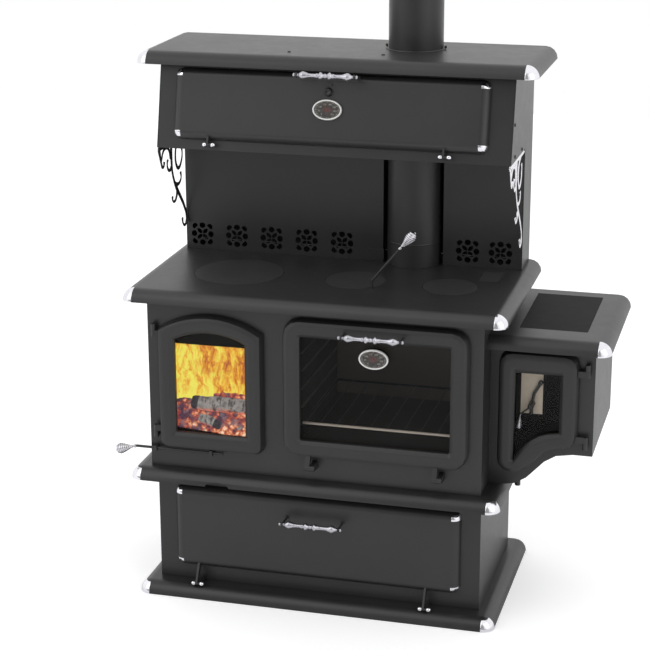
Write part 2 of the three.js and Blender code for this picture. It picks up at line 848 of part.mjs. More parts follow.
// The joint between a fixed and a moving knuckle lies at each of these heights; the lower fixed knuckle carries the
// door's, and the upper one stands on it.
const fireHinges = [{ height: fireLowerHinge, side: 1 }, { height: fireUpperHinge, side: -1 }];
const sideHinges = [{ height: sideLowerHinge, side: 1 }, { height: sideUpperHinge, side: -1 }];

// One knuckle beside the joint, with the web that carries it; side is 1 above the joint and -1 below it.
function uprightKnuckle(x, height, side, web) {
  const near = height + side * (seatGap / 2);
  const far = near + side * knuckleLength;
  const [low, high] = [Math.min(near, far), Math.max(near, far)];
  return join(roundBar('y', x, hingeDepth, knuckleRadius, low, high, smallRound + 2), web(low, high));
}

// The door's knuckles are bored, and webs join them to the edge of its frame.
function doorKnuckles(x, hinges, frameEdge) {
  const half = 0.6 * knuckleRadius;
  const web = (low, high) => block(Math.min(x, frameEdge), Math.max(x, frameEdge), low, high,
    hingeDepth - half,
    hingeDepth + half);
  return hinges.map(({ height, side }) => cut(uprightKnuckle(x, height, side, web),
    bore('y', x, hingeDepth, hingePinRadius)));
}

// The fixed knuckles stand on the face behind them and hold the pins.
function fixedKnuckles(x, hinges, foot) {
  const half = 0.6 * knuckleRadius;
  const web = (low, high) => block(x - half, x + half, low, high, foot, hingeDepth);
  return hinges.map(({ height, side }) => join(uprightKnuckle(x, height, -side, web),
    roundBar('y', x, hingeDepth, hingePinRadius, height - knuckleLength, height + knuckleLength,
      smallRound)));
}

// -------------------------------------------------------------------------------------------------
// Body front with the openings, lugs and rod guides
// -------------------------------------------------------------------------------------------------

const bodyBottom = midShelfTop + seatGap;
const bodyTop = cooktopTop - cooktopThickness - seatGap;
const firePlace = doorMatrix(fireDoorCentre, 0, fireDoorBottom);
const ovenPlace = doorMatrix(ovenDoorCentre, 0, ovenDoorBottom);
const fireHingeX = -fireDoorWidth / 2 - fireHingeOffset;
const openingShare = 0.6;

// The oven door's hinge pins lie below the door and in front of it; each carries a fixed lug and one of the door's.
const ovenHingeXs = [-ovenHingeSpacing / 2, ovenHingeSpacing / 2];
const ovenLugWidth = 14;
const ovenEyeRadius = 8;

function ovenLug(x0, arm) {
  const x1 = x0 + ovenLugWidth;
  const round = roundBar('x', -ovenHingeDrop, ovenHingeStandoff, ovenEyeRadius, x0, x1, smallRound + 2);
  return join(prism('x', polygon(arm), x0, x1), round);
}

// The fixed lugs hold the pins.
function fixedOvenLugs() {
  const [low, high] = [-ovenHingeDrop - 1.5 * ovenEyeRadius, -ovenHingeDrop + 1.5 * ovenEyeRadius];
  const arm = [[low, -frontPlate / 2], [high, -frontPlate / 2],
    [-ovenHingeDrop + 0.8 * ovenEyeRadius, ovenHingeStandoff],
      [-ovenHingeDrop - 0.8 * ovenEyeRadius, ovenHingeStandoff]];
  return join(...ovenHingeXs.map((x) => join(ovenLug(x + seatGap / 2, arm),
    roundBar('x', -ovenHingeDrop, ovenHingeStandoff, hingePinRadius, x - ovenLugWidth, x + ovenLugWidth,
      smallRound))));
}

function movingOvenLugs() {
  const arm = [[0.25 * frameWidth, 0.2 * frameDepth], [0.25 * frameWidth, 0.8 * frameDepth],
    [-ovenHingeDrop, ovenHingeStandoff + 0.9 * ovenEyeRadius],
      [-ovenHingeDrop, ovenHingeStandoff - 0.4 * ovenEyeRadius]];
  const hole = bore('x', -ovenHingeDrop, ovenHingeStandoff, hingePinRadius);
  return join(...ovenHingeXs.map((x) => cut(ovenLug(x - ovenLugWidth - seatGap / 2, arm), hole)));
}

function airRodGuides() {
  return [airRodStart - airTravel - 4, -bodyWidth / 2 + 18].map((x) => {
    const ear = block(x - 4, x + 4, airRodY - 2 * rodRadius, frontPlate / 2, airRodZ - 2 * rodRadius,
      airRodZ + 2 * rodRadius);
    return cut(ear, bore('x', airRodY, airRodZ, rodRadius));
  });
}

function bodyFront() {
  const half = bodyWidth / 2;
  const plate = block(-half, half, 0, frontPlate, bodyBottom, bodyTop);
  const fireHole = moved(prism('z', new THREE.Shape(between(fireOuter, fireInner, openingShare)), -deep,
    deep), firePlace);
  const ovenHole = block(ovenLeft, ovenRight, -deep, deep, ovenBottom, ovenTop);
  const knuckles = fixedKnuckles(fireHingeX, fireHinges, -frontPlate / 2)
    .map((knuckle) => moved(knuckle, firePlace));
  return join(cut(plate, fireHole, ovenHole), ...knuckles, moved(fixedOvenLugs(), ovenPlace),
    ...airRodGuides());
}

function bodyCasing() {
  const half = bodyWidth / 2;
  const front = frontPlate + seatGap;
  return cut(
    block(-half, half, front, bodyBack, bodyBottom, bodyTop),
    block(-half + sheet, half - sheet, front - sheet, bodyBack - sheet, bodyBottom + sheet,
      bodyTop + sheet),
  );
}

// -------------------------------------------------------------------------------------------------
// Firebox
// -------------------------------------------------------------------------------------------------

const fireboxFront = frontPlate + seatGap;
const fireboxBase = bodyBottom + sheet + seatGap;
const grateBottom = grateTop - grateThickness;
const brickBottom = grateTop + seatGap;
const insideLeft = fireboxLeft + fireboxWall + seatGap;
const insideRight = fireboxRight - fireboxWall - seatGap;
const insideBack = fireboxBack - fireboxWall - seatGap;

function firebox() {
  const [left, right, back] = [fireboxLeft + fireboxWall, fireboxRight - fireboxWall,
    fireboxBack - fireboxWall];
  const walls = cut(
    block(fireboxLeft, fireboxRight, fireboxFront, fireboxBack, fireboxBase, fireboxTop),
    block(left, right, fireboxFront - fireboxWall, back, ashFloor + fireboxWall, fireboxTop + deep),
    block(left, right, fireboxFront - fireboxWall, back, fireboxBase - deep, ashFloor),
  );
  const ledge = 10;
  const ledgeTop = grateBottom - seatGap;
  const ledgeHeight = 4;
  return join(walls,
    block(left - 1, left + ledge, fireboxFront + ledge, back + 1, ledgeTop - ledgeHeight, ledgeTop),
    block(right - ledge, right + 1, fireboxFront + ledge, back + 1, ledgeTop - ledgeHeight, ledgeTop));
}

// Lining of firebrick along both sides and the back, with the joints between its bricks as grooves.
function firebrickLining() {
  const front = fireboxFront + 14;
  const top = brickTop - seatGap;
  const inner = { left: insideLeft + brickThickness, right: insideRight - brickThickness,
    back: insideBack - brickThickness };
  const lining = cut(block(insideLeft, insideRight, front, insideBack, brickBottom, top),
    block(inner.left, inner.right, front - brickJoint, inner.back, brickBottom - brickJoint,
      top + brickJoint));
  const course = block(inner.left - brickJoint, inner.right + brickJoint, front - brickJoint,
    inner.back + brickJoint,
    (brickBottom + top - brickJoint) / 2, (brickBottom + top + brickJoint) / 2);
  const joints = [];
  for (let i = 1; i < sideBricks; i++) {
    const y = front + ((inner.back - front) * i) / sideBricks;
    joints.push(block(inner.left - brickJoint, inner.right + brickJoint, y, y + brickJoint,
      brickBottom - 1, top + 1));
  }
  const middle = (inner.left + inner.right) / 2;
  joints.push(block(middle, middle + brickJoint, front, inner.back + brickJoint, brickBottom - 1,
    top + 1));
  return cut(lining, course, ...joints);
}

function fireGrate() {
  const plate = block(insideLeft, insideRight, fireboxFront + 12, insideBack, grateBottom, grateTop);
  const margin = 50;
  const width = insideRight - insideLeft - 2 * margin;
  const slots = [];
  for (let i = 0; i < grateSlots; i++) {
    const x = insideLeft + margin + (width * (i + 0.5)) / grateSlots;
    slots.push(block(x - grateSlotWidth / 2, x + grateSlotWidth / 2, fireboxFront + margin,
      insideBack - margin, -deep,
      deep));
  }
  return cut(plate, ...slots);
}

function ashPan() {
  const low = ashFloor + fireboxWall + seatGap;
  const [x0, x1, y0, y1] = [insideLeft + 14, insideRight - 14, fireboxFront + 16, insideBack - 20];
  return cut(block(x0, x1, y0, y1, low, low + ashPanHeight),
    block(x0 + 2, x1 - 2, y0 + 2, y1 - 2, low + 2, low + ashPanHeight + 2));
}

function smokeBaffle() {
  return block(insideLeft, insideRight, baffleFront, insideBack, brickTop, brickTop + 5);
}

// -------------------------------------------------------------------------------------------------
// Oven
// -------------------------------------------------------------------------------------------------

function ovenBox() {
  const box = cut(
    block(ovenLeft - ovenWall, ovenRight + ovenWall, fireboxFront, ovenDepth + ovenWall,
      ovenBottom - ovenWall,
      ovenTop + ovenWall),
    block(ovenLeft, ovenRight, fireboxFront - ovenWall, ovenDepth, ovenBottom, ovenTop),
  );
  const strips = [];
  for (let i = 0; i < ledges; i++) {
    const z = lowestLedge + i * ledgePitch;
    const [y0, y1] = [fireboxFront + 8, ovenDepth - 12];
    strips.push(block(ovenLeft - 1, ovenLeft + ledgeWidth, y0, y1, z - 2, z));
    strips.push(block(ovenRight - ledgeWidth, ovenRight + 1, y0, y1, z - 2, z));
  }
  return join(box, ...strips);
}

function ovenRack() {
  const z = lowestLedge + seatGap + rackBarRadius;
  const [x0, x1] = [ovenLeft + rackBarRadius + 3, ovenRight - rackBarRadius - 3];
  const [y0, y1] = [fireboxFront + 22, ovenDepth - 18];
  const bar = (from, to) => rodBetween(from, to, rackBarRadius, 6);
  const frame = [
    bar(new THREE.Vector3(x0 - 2, y0, z), new THREE.Vector3(x1 + 2, y0, z)),
    bar(new THREE.Vector3(x0 - 2, y1, z), new THREE.Vector3(x1 + 2, y1, z)),
    bar(new THREE.Vector3(x0, y0, z), new THREE.Vector3(x0, y1, z)),
    bar(new THREE.Vector3(x1, y0, z), new THREE.Vector3(x1, y1, z)),
  ];
  const wires = [];
  for (let i = 1; i <= rackWires; i++) {
    const x = x0 + ((x1 - x0) * i) / (rackWires + 1);
    wires.push(rodBetween(new THREE.Vector3(x, y0, z), new THREE.Vector3(x, y1, z), rackWireRadius, 4));
  }
  return join(...frame, ...wires);
}

// -------------------------------------------------------------------------------------------------
// Cooktop and flue
// -------------------------------------------------------------------------------------------------

const roundHobs = [
  [leftHobX, hobPlateY, leftHobRadius], [middleHobX, hobPlateY, middleHobRadius],
    [rightHobX, hobPlateY, rightHobRadius],
];
const hobSegments = 24;
const pocketFloor = cooktopTop - hobPlateThickness - seatGap;
const collarRadius = flueRadius - flueWall - seatGap;

function cooktopSheet() {
  const pockets = roundHobs.map(([x, y, radius]) => roundBar('z', x, y, radius + hobPlateGap, pocketFloor,
    cooktopTop + deep, hobSegments));
  const [w, d] = [cleanoutWidth / 2 + hobPlateGap, cleanoutDepth / 2 + hobPlateGap];
  const cleanout = block(cleanoutX - w, cleanoutX + w, cleanoutY - d, cleanoutY + d, pocketFloor,
    cooktopTop + deep);
  const flueHole = roundBar('z', flueX, flueY, collarRadius + seatGap, 0, 2 * deep, largeRound);
  const leverHole = bore('z', damperX, damperY, rodRadius);
  return cut(rolledSheet(cooktop), ...pockets, cleanout, flueHole, leverHole);
}

const hobPlateBottom = cooktopTop - hobPlateThickness;

function hobPlate([x, y, radius]) {
  return roundBar('z', x, y, radius, hobPlateBottom, cooktopTop, hobSegments);
}

function cleanoutCover() {
  const [w, d] = [cleanoutWidth / 2, cleanoutDepth / 2];
  return block(cleanoutX - w, cleanoutX + w, cleanoutY - d, cleanoutY + d, hobPlateBottom, cooktopTop);
}

// A tube turned from its closed wall profile of [radius, height].
function turnedWall(profile, segments) {
  const points = [...profile, profile[0]].map(([radius, height]) => new THREE.Vector2(radius, height));
  const geometry = new THREE.LatheGeometry(points, segments);
  geometry.rotateX(Math.PI / 2);
  geometry.translate(flueX, flueY, 0);
  return solid(geometry);
}

function flueCollar() {
  const under = cooktopTop - cooktopThickness - seatGap;
  const inner = collarRadius - flueWall;
  return turnedWall([[inner, under - sheet], [collarFlange, under - sheet], [collarFlange, under],
    [collarRadius, under],
    [collarRadius, cooktopTop + collarHeight], [inner, cooktopTop + collarHeight]], largeRound);
}

function fluePipe() {
  const low = cooktopTop + seatGap;
  const bead = 2.5;
  const profile = [[flueRadius - flueWall, low], [flueRadius, low]];
  const z = cooktopTop + beadHeight;
  profile.push([flueRadius, z - bead], [flueRadius + 0.6 * bead, z], [flueRadius, z + bead]);
  profile.push([flueRadius, flueTop], [flueRadius - flueWall, flueTop]);
  return turnedWall(profile, largeRound);
}

// Trim ring on the shelf round the pipe, with a small lug at each side.
function pipeFlange() {
  const low = shelfTop + seatGap;
  const ring = turnedWall([[flueRadius + seatGap, low], [flangeRadius, low],
    [flangeRadius - 1, low + sheet],
    [flueRadius + seatGap, low + sheet]], largeRound);
  const lugs = [-1, 1].map((side) => roundBar('x', flueY, low + 6, 4,
    flueX + side * (flangeRadius - 1) - 3,
    flueX + side * (flangeRadius - 1) + 3, 6));
  return join(ring, ...lugs);
}

// -------------------------------------------------------------------------------------------------
// Upper casing, backsplash and warming closet
// -------------------------------------------------------------------------------------------------

const upperBottom = cooktopTop + seatGap;
const upperTop = shelfTop - sheet - seatGap;
const leanSlope = Math.tan(closetLean * degree);
const closetFaceAt = (z) => closetFront + (z - closetBottom) * leanSlope;
const closetInsideHalf = closetWidth / 2 - thinSheet - seatGap;

function upperCasing() {
  const profile = polygon([[closetFront, closetBottom], [splashFront, closetBottom],
    [splashFront, upperBottom],
    [closetBack, upperBottom], [closetBack, upperTop], [closetFaceAt(upperTop), upperTop]]);
  const half = closetWidth / 2;
  return cut(prism('x', profile, -half, half),
    block(-half + thinSheet, half - thinSheet, -deep, closetBack - thinSheet, 0, 2 * deep));
}

const closetPlace = (centre) => {
  const up = closetDoorStart * Math.cos(closetLean * degree);
  return doorMatrix(centre, closetFaceAt(closetBottom + up), closetBottom + up, closetLean);
};

function closetShell() {
  const back = closetBack - thinSheet - seatGap;
  const lip = thinSheet / Math.cos(closetLean * degree);
  const profile = polygon([[closetFront, closetBottom], [back, closetBottom],
    [back, closetBottom + thinSheet],
    [closetFaceAt(closetBottom + thinSheet) + lip, closetBottom + thinSheet],
      [closetFaceAt(upperTop) + lip, upperTop],
    [closetFaceAt(upperTop), upperTop]]);
  const sheetBody = prism('x', profile, -closetInsideHalf, closetInsideHalf);
  const half = closetDoorWidth / 2 - openingLip;
  const opening = moved(block(-half, half, openingLip, closetDoorHeight - openingLip, -4 * thinSheet,
    4 * thinSheet),
    closetPlace(closetDoorCentre));
  const pipeHole = roundBar('z', flueX, flueY, flueRadius + sheet, closetBottom - deep,
    closetBottom + 2 * thinSheet,
    largeRound);
  const lugs = moved(fixedDropLugs(closetHinge), closetPlace(closetDoorCentre));
  return join(cut(sheetBody, opening, pipeHole), lugs);
}

function oval(u, v, halfWidth, halfHeight, segments) {
  const points = [];
  for (let i = 0; i < segments; i++) {
    const angle = (2 * Math.PI * i) / segments;
    points.push([u + halfWidth * Math.cos(angle), v + halfHeight * Math.sin(angle)]);
  }
  return polygon(points);
}

// Rosette vent: four leaves on the diagonals, an oval at each side and a wedge beyond each leaf.
function rosetteHoles(u, v) {
  const holes = [];
  for (let quarter = 0; quarter < 4; quarter++) {
    const side = quarter * (Math.PI / 2);
    const diagonal = side + Math.PI / 4;
    const upright = quarter % 2 === 1;
    holes.push(oval(u + rosetteOvalRadius * Math.cos(side), v + rosetteOvalRadius * Math.sin(side),
      upright ? 8.5 : 7, upright ? 7 : 8.5, 6));
    const at = (along, across) => [
      u + along * Math.cos(diagonal) - across * Math.sin(diagonal),
      v + along * Math.sin(diagonal) + across * Math.cos(diagonal),
    ];
    holes.push(polygon([at(3, 0), at(10, -4), at(21, 0), at(10, 4)]));
    const r = rosetteWedgeRadius;
    holes.push(polygon([at(r - 2, -7), at(r + 6, 0), at(r - 2, 7)]));
  }
  return holes.map((shape) => prism('y', shape, splashFront - deep, splashFront + deep));
}

function splashPanel(x0, x1, firstX, pitch, count) {
  const vents = [];
  for (let i = 0; i < count; i++) {
    vents.push(...rosetteHoles(firstX + i * pitch, rosetteHeight));
  }
  return cut(block(x0, x1, splashFront, splashFront + thinSheet, upperBottom, closetBottom - seatGap),
    ...vents);
}

function backsplashLeft() {
  const panel = splashPanel(-closetInsideHalf, splashGapLeft, leftRosetteX, leftRosettePitch,
    leftRosettes);
  return join(panel, block(splashGapLeft - thinSheet, splashGapLeft, splashFront + thinSheet / 2,
    splashFront + splashReturn, upperBottom, closetBottom - seatGap));
}

function backsplashRight() {
  const panel = splashPanel(splashGapRight, closetInsideHalf, rightRosetteX, rightRosettePitch,
    rightRosettes);
  return join(panel, block(splashGapRight, splashGapRight + thinSheet, splashFront + thinSheet / 2,
    splashFront + splashReturn, upperBottom, closetBottom - seatGap));
}

function smallPlate() {
  const [w, h] = [smallPlateWidth / 2, smallPlateHeight / 2];
  const back = splashFront - seatGap;
  return block(smallPlateX - w, smallPlateX + w, back - 2, back, smallPlateZ - h, smallPlateZ + h);
}

function topShelfSheet() {
  return cut(rolledSheet(topShelf), roundBar('z', flueX, flueY, flueRadius + sheet, 0, 2 * deep,
    largeRound));
}

// A flat bar of changing width along a curve through its points, in the plane of the side of the stove.
function scroll(points, widths, steps) {
  const curve = new THREE.CatmullRomCurve3(points.map(([y, z]) => new THREE.Vector3(y, z, 0)), false,
    'centripetal');
  const left = [];
  const right = [];
  for (let i = 0; i <= steps; i++) {
    const t = i / steps;
    const middle = curve.getPointAt(t);
    const along = curve.getTangentAt(t);
    const place = t * (widths.length - 1);
    const k = Math.min(Math.floor(place), widths.length - 2);
    const half = THREE.MathUtils.lerp(widths[k], widths[k + 1], place - k) / 2;
    left.push([middle.x - along.y * half, middle.y + along.x * half]);
    right.unshift([middle.x + along.y * half, middle.y - along.x * half]);
  }
  return polygon([...left, ...right]);
}

// Scroll bracket: y and z of each scroll run back from the closet's front edge and down from its floor.
function scrollBracket(outerX, side) {
  const back = splashFront - closetFront - seatGap;
  const scrolls = [
    scroll([[0, -6], [0.5 * back, -6], [back, -6]], [12, 12, 12], 2),
    scroll([[6, -8], [14, -30], [22, -50], [30, -62], [42, -62], [46, -50]], [15, 11, 9, 10, 9, 5], 8),
    scroll([[24, -44], [40, -20], [66, -14], [88, -26], [98, -52]], [7, 9, 11, 9, 9], 5),
    scroll([[106, -8], [106, -50], [110, -90], [122, -118], [142, -146], [176, -182], [204, -214],
      [222, -246],
      [220, -264], [206, -272], [190, -262], [186, -246]], [14, 12, 10, 10, 13, 12, 11, 10, 10, 9, 7, 5],
        15),
    scroll([[106, -76], [92, -84], [76, -78], [70, -62], [76, -50]], [11, 10, 9, 7, 5], 5),
    scroll([[176, -8], [156, -24], [146, -50], [150, -78], [164, -90], [182, -80], [192, -56],
      [184, -34]],
      [10, 9, 9, 10, 11, 9, 6, 5], 10),
    scroll([[132, -132], [150, -138], [172, -136], [184, -124], [180, -108]], [12, 11, 9, 7, 5], 5),
    scroll([[148, -152], [142, -170], [126, -182], [108, -176], [106, -164]], [12, 10, 9, 7, 5], 5),
  ];
  const [x0, x1] = side < 0 ? [outerX, outerX + bracketThickness] : [outerX - bracketThickness, outerX];
  const plate = join(...scrolls.map((shape) => {
    const body = prism('x', shape, x0, x1);
    return body.translate([0, closetFront, closetBottom - seatGap]);
  }));
  return plate.subtract(block(x0 - 1, x1 + 1, splashFront - seatGap, splashFront + deep, 0, 2 * deep))
    .subtract(block(x0 - 1, x1 + 1, 0, deep, closetBottom - seatGap, 2 * deep));
}

// -------------------------------------------------------------------------------------------------
// Fittings shared by the doors
// -------------------------------------------------------------------------------------------------

// Half profile of a turned handle, from its middle bead out to the ball at its end: [distance, radius].
const handleProfile = [
  [0, 7], [4.5, 5], [12.7, 10.5], [19.5, 6], [23.5, 7], [27, 5.6], [45, 5.6], [49, 7], [61.5, 10.8],
  [76, handleNeck], [83.6, handleNeck], [85.2, 5.6], [88.6, 4.6], [handleHalfLength, 0],
];

function turnedHandle(y, z) {
  const mirrored = handleProfile.slice(1).reverse().map(([along, radius]) => [-along, radius]);
  const profile = [...mirrored, ...handleProfile];
  return turnedTowards(profile, new THREE.Vector3(0, y, z), new THREE.Vector3(1, 0, 0), smallRound);
}

// Posts that hold a turned handle by its two necks; they are welded to the face.
function handlePosts(y, face, bar) {
  return [-postOffset, postOffset].map((x) => {
    const post = roundBar('z', x, y, postRadius, face - weldOverlap, bar, 6);
    const foot = roundBar('z', x, y, 2 * postRadius, face - weldOverlap, face + 3, smallRound);
    const eye = roundBar('x', y, bar, postEyeRadius, x - 2.2, x + 2.2, smallRound);
    return cut(join(post, foot, eye), bore('x', y, bar, handleNeck));
  });
}

function ellipseLoop(y, z, halfWidth, halfHeight) {
  const loop = [];
  const segments = 20;
  for (let i = 0; i < segments; i++) {
    const angle = (2 * Math.PI * i) / segments;
    loop.push(new THREE.Vector3(halfWidth * Math.cos(angle), y + halfHeight * Math.sin(angle), z));
  }
  return loop;
}

const dialRecess = 2.5;
const dialGap = 0.4;

// Oval housing with its bezel; the dial lies in it.
function thermometerBezel(y, base, depth) {
  const loop = (inset, z) => ellipseLoop(y, z, dialHalfWidth - inset, dialHalfHeight - inset);
  const ring = loftRing([loop(0, base), loop(0, base + 0.6 * depth), loop(0.5 * bezelWidth, base + depth),
    loop(bezelWidth, base + depth - 1), loop(bezelWidth, base)]);
  return ring;
}

function thermometerDial(y, base, depth) {
  const inset = bezelWidth + dialGap;
  const shape = new THREE.Shape(ellipseLoop(y, 0, dialHalfWidth - inset, dialHalfHeight - inset)
    .map((point) => new THREE.Vector2(point.x, point.y)));
  return prism('z', shape, base + 0.2, base + depth - dialRecess);
}

// Sheet-metal door: a pan with its four edges rolled back, in its own frame.
function panDoor(width, height) {
  return {
    x0: -width / 2, x1: width / 2, y0: 0, y1: height, top: doorRollRadius + seatGap,
      radius: doorRollRadius,
    thickness: thinSheet, rolls: ['left', 'right', 'front', 'back'],
  };
}

const panFace = doorRollRadius + seatGap;

// Pins of the drop hinges, with a ball at each end; they are fixed in the door's straps.
function ballPins(hinge) {
  const reach = dropHingeEye + 0.6;
  const ball = dropBallRadius;
  const half = [[reach, dropPinRadius], [reach + 0.5 * ball, 0.97 * ball],
    [reach + 1.5 * ball, 0.9 * ball],
    [reach + 2 * ball, 0]];
  const profile = [...half.slice().reverse().map(([along, radius]) => [-along, radius]), ...half];
  return dropHingeXs(hinge).map((x) => turnedTowards(profile,
    new THREE.Vector3(x, -hinge.drop, hinge.standoff),
    new THREE.Vector3(1, 0, 0), smallRound));
}

// Straps from the door's lower roll down to the pins.
function hingeStraps(hinge) {
  const { drop, standoff } = hinge;
  const onRoll = (angle, lift) => [doorRollRadius - (doorRollRadius + lift) * Math.cos(angle * degree),
    seatGap + (doorRollRadius + lift) * Math.sin(angle * degree)];
  return dropHingeXs(hinge).map((x) => {
    const [x0, x1] = [x - dropHingeEye, x - seatGap];
    const strap = prism('x', polygon([onRoll(15, -1), onRoll(40, -1), onRoll(65, -1), onRoll(60, 5),
      [-drop + 2, standoff + dropEye], [-drop - 0.7 * dropEye, standoff - 0.7 * dropEye]]), x0, x1);
    return join(strap, roundBar('x', -drop, standoff, dropEye, x0, x1, smallRound));
  });
}

// -------------------------------------------------------------------------------------------------
// Side cabinet, reservoir and tap
// -------------------------------------------------------------------------------------------------

const sideLeft = bodyWidth / 2 + seatGap;
const sideLow = midShelfTop + seatGap;
const sideCabinetTop = sideTopHeight - sheet - seatGap;

function sideProfile(inset, lift) {
  const run = curveEnd - curveStart;
  const shape = new THREE.Shape();
  shape.moveTo(sideLeft + inset, sideLow + inset);
  shape.lineTo(curveStart, sideLow + inset);
  shape.bezierCurveTo(curveStart + 0.55 * run, sideLow + inset, curveEnd - 0.55 * run, sideHigh + inset,
    curveEnd,
    sideHigh + inset);
  shape.lineTo(sideRight - inset, sideHigh + inset);
  shape.lineTo(sideRight - inset, sideCabinetTop + lift);
  shape.lineTo(sideLeft + inset, sideCabinetTop + lift);
  return shape;
}

const sidePlace = doorMatrix(sideDoorMiddle, sideFront, sideDoorBottom);
const sideHingeX = (sideDoorRight - sideDoorLeft) / 2 + sideHingeOffset;

function sideCabinet() {
  const shell = cut(prism('y', sideProfile(0, 0), sideFront, sideBack, sideCurveSteps),
    prism('y', sideProfile(sheet, sheet), sideFront + sheet, sideBack - sheet, sideCurveSteps));
  const opening = moved(prism('z', new THREE.Shape(between(sideOuter, sideInner, openingShare)),
    -2 * sheet, 2 * sheet),
    sidePlace);
  const knuckles = fixedKnuckles(sideHingeX, sideHinges, -sheet
    / 2).map((knuckle) => moved(knuckle, sidePlace));
  const drain = roundBar('z', drainX, drainY, drainRadius, drainBottom, sideLow + 4 * sheet, smallRound);
  return join(cut(shell, opening), ...knuckles, cut(drain, prism('y', sideProfile(sheet, sheet), 0,
    deep)));
}

function sideTopSheet() {
  return cut(rolledSheet(sideTop), block(lidLeft, lidRight, lidFront, lidBack, 0, 2 * deep));
}

const lidBottom = sideTopHeight - sheet;

function reservoirLid() {
  return block(lidLeft + lidGap, lidRight - lidGap, lidFront + lidGap, lidBack - lidGap, lidBottom,
    sideTopHeight);
}

// The tank hangs by its rim under the side top.
function waterTank() {
  const top = lidBottom - seatGap;
  const [x0, x1, y0, y1] = [tankLeft, tankRight, tankFront, tankBack];
  const rim = block(x0 - tankRim, x1 + tankRim, y0 - tankRim, y1 + tankRim, top - tankWall, top);
  const tank = block(x0, x1, y0, y1, tankBottom, top);
  return cut(join(rim, tank), block(x0 + tankWall, x1 - tankWall, y0 + tankWall, y1 - tankWall,
    tankBottom + tankWall,
    top + deep));
}

function tapPlate() {
  const back = tankFront - seatGap;
  return block(tapPlateLeft, tapPlateRight, back - 2, back, tapPlateBottom, tapPlateBottom + 118);
}

const tapBack = tankFront - seatGap - 2 - seatGap;
const tapFront = tapBack - 26;

function tapBody() {
  const barrel = roundBar('y', tapX, tapZ, 9, tapFront, tapBack, smallRound);
  const spout = rodBetween(new THREE.Vector3(tapX, tapFront + 9, tapZ),
    new THREE.Vector3(tapX, tapFront + 9, tapZ - 26),
    5.5, smallRound);
  const elbow = [[tapX, tapBack - 9, tapZ], [tapX + 6, tapBack - 9, tapZ + 32],
    [tapX + 22, tapBack - 7, tapZ + 62]]
    .map((entries) => new THREE.Vector3(...entries));
  const pipe = elbow.slice(1).map((point, i) => rodBetween(elbow[i], point, 4.5, 6));
  const seal = roundBar('y', elbow[2].x, elbow[2].z, 7, tapBack - 11, tapBack, smallRound);
  return join(barrel, spout, ...pipe, seal);
}

const tapLeverEnd = new THREE.Vector3(tapX - 26, tapFront - 10, tapZ - 20);

function tapLever() {
  const y = tapFront - seatGap;
  const boss = roundBar('y', tapX, tapZ, 8, y - 9, y, smallRound);
  return join(boss, rodBetween(new THREE.Vector3(tapX, y - 5, tapZ), tapLeverEnd, 2.6, 6));
}

// -------------------------------------------------------------------------------------------------
// Levers
// -------------------------------------------------------------------------------------------------

// Ball ferrule and teardrop grip: [distance along the axis, radius].
const ferrule = 4.2;
const teardropProfile = [
  [0, 0], [0, 0.7 * ferrule], [5, ferrule + 0.8], [11, 0.8 * ferrule], [15, ferrule],
  [0.42 * teardropLength, 0.52 * teardropRadius], [0.66 * teardropLength, 0.9 * teardropRadius],
  [0.8 * teardropLength, teardropRadius], [0.93 * teardropLength, 0.74 * teardropRadius],
    [teardropLength, 0],
];

function teardrop(start, direction, size = 1) {
  const profile = teardropProfile.map(([along, radius]) => [along * size, radius * size]);
  return turnedTowards(profile, start.clone().addScaledVector(direction, seatGap), direction, smallRound);
}

const damperTop = new THREE.Vector3(damperX, damperY, damperBend);
const damperEnd = new THREE.Vector3(damperX + damperReach, damperY, damperBend + damperRise);
const damperDirection = damperEnd.clone().sub(damperTop).normalize();
const bladeTop = cooktopTop - cooktopThickness - 8;

function damperLever() {
  const shaft = rodBetween(new THREE.Vector3(damperX, damperY, bladeTop - bladeHeight), damperTop,
    rodRadius,
    smallRound);
  const knee = solid(new THREE.SphereGeometry(rodRadius, smallRound, 4).translate(damperX, damperY,
    damperBend));
  const blade = block(damperX - bladeWidth / 2, damperX + bladeWidth / 2, damperY - 1.5, damperY + 1.5,
    bladeTop - bladeHeight, bladeTop);
  return join(shaft, knee, rodBetween(damperTop, damperEnd, rodRadius, smallRound), blade);
}

const airTip = new THREE.Vector3(airRodEnd, airRodY, airRodZ);
const airDirection = new THREE.Vector3(-1, 0, -0.1).normalize();

function airRod() {
  return roundBar('x', airRodY, airRodZ, rodRadius, airRodEnd, airRodStart, smallRound);
}

// -------------------------------------------------------------------------------------------------
// Assembly
// -------------------------------------------------------------------------------------------------

const stove = new THREE.Group();

const finishes = {
  black: { color: 0x3b3b3c, roughness: 0.55, metalness: 0.3 },
  top: { color: 0x363637, roughness: 0.45, metalness: 0.4 },
  nickel: { color: 0xd8d8da, roughness: 0.12, metalness: 1.0 },
  steel: { color: 0xb9b3a8, roughness: 0.35, metalness: 0.9 },
  iron: { color: 0x2a2a2b, roughness: 0.7, metalness: 0.3 },
  oven: { color: 0x1d1d1c, roughness: 0.5, metalness: 0.1 },
  brick: { color: 0xb59b7a, roughness: 0.9, metalness: 0.0 },
  dial: { color: 0x4a4a4a, roughness: 0.4, metalness: 0.0 },
};

function add(parent, name, body, finish) {
  const mesh = new THREE.Mesh(geometryOf(body), new THREE.MeshStandardMaterial(finishes[finish]));
  mesh.name = name;
  parent.add(mesh);
}

function addGlass(parent, name, body) {
  const material = new THREE.MeshStandardMaterial({
    color: 0x303030, roughness: 0.05, metalness: 0, transparent: true, opacity: 0.35,
  });
  const mesh = new THREE.Mesh(geometryOf(body), material);
  mesh.name = name;
  parent.add(mesh);
}

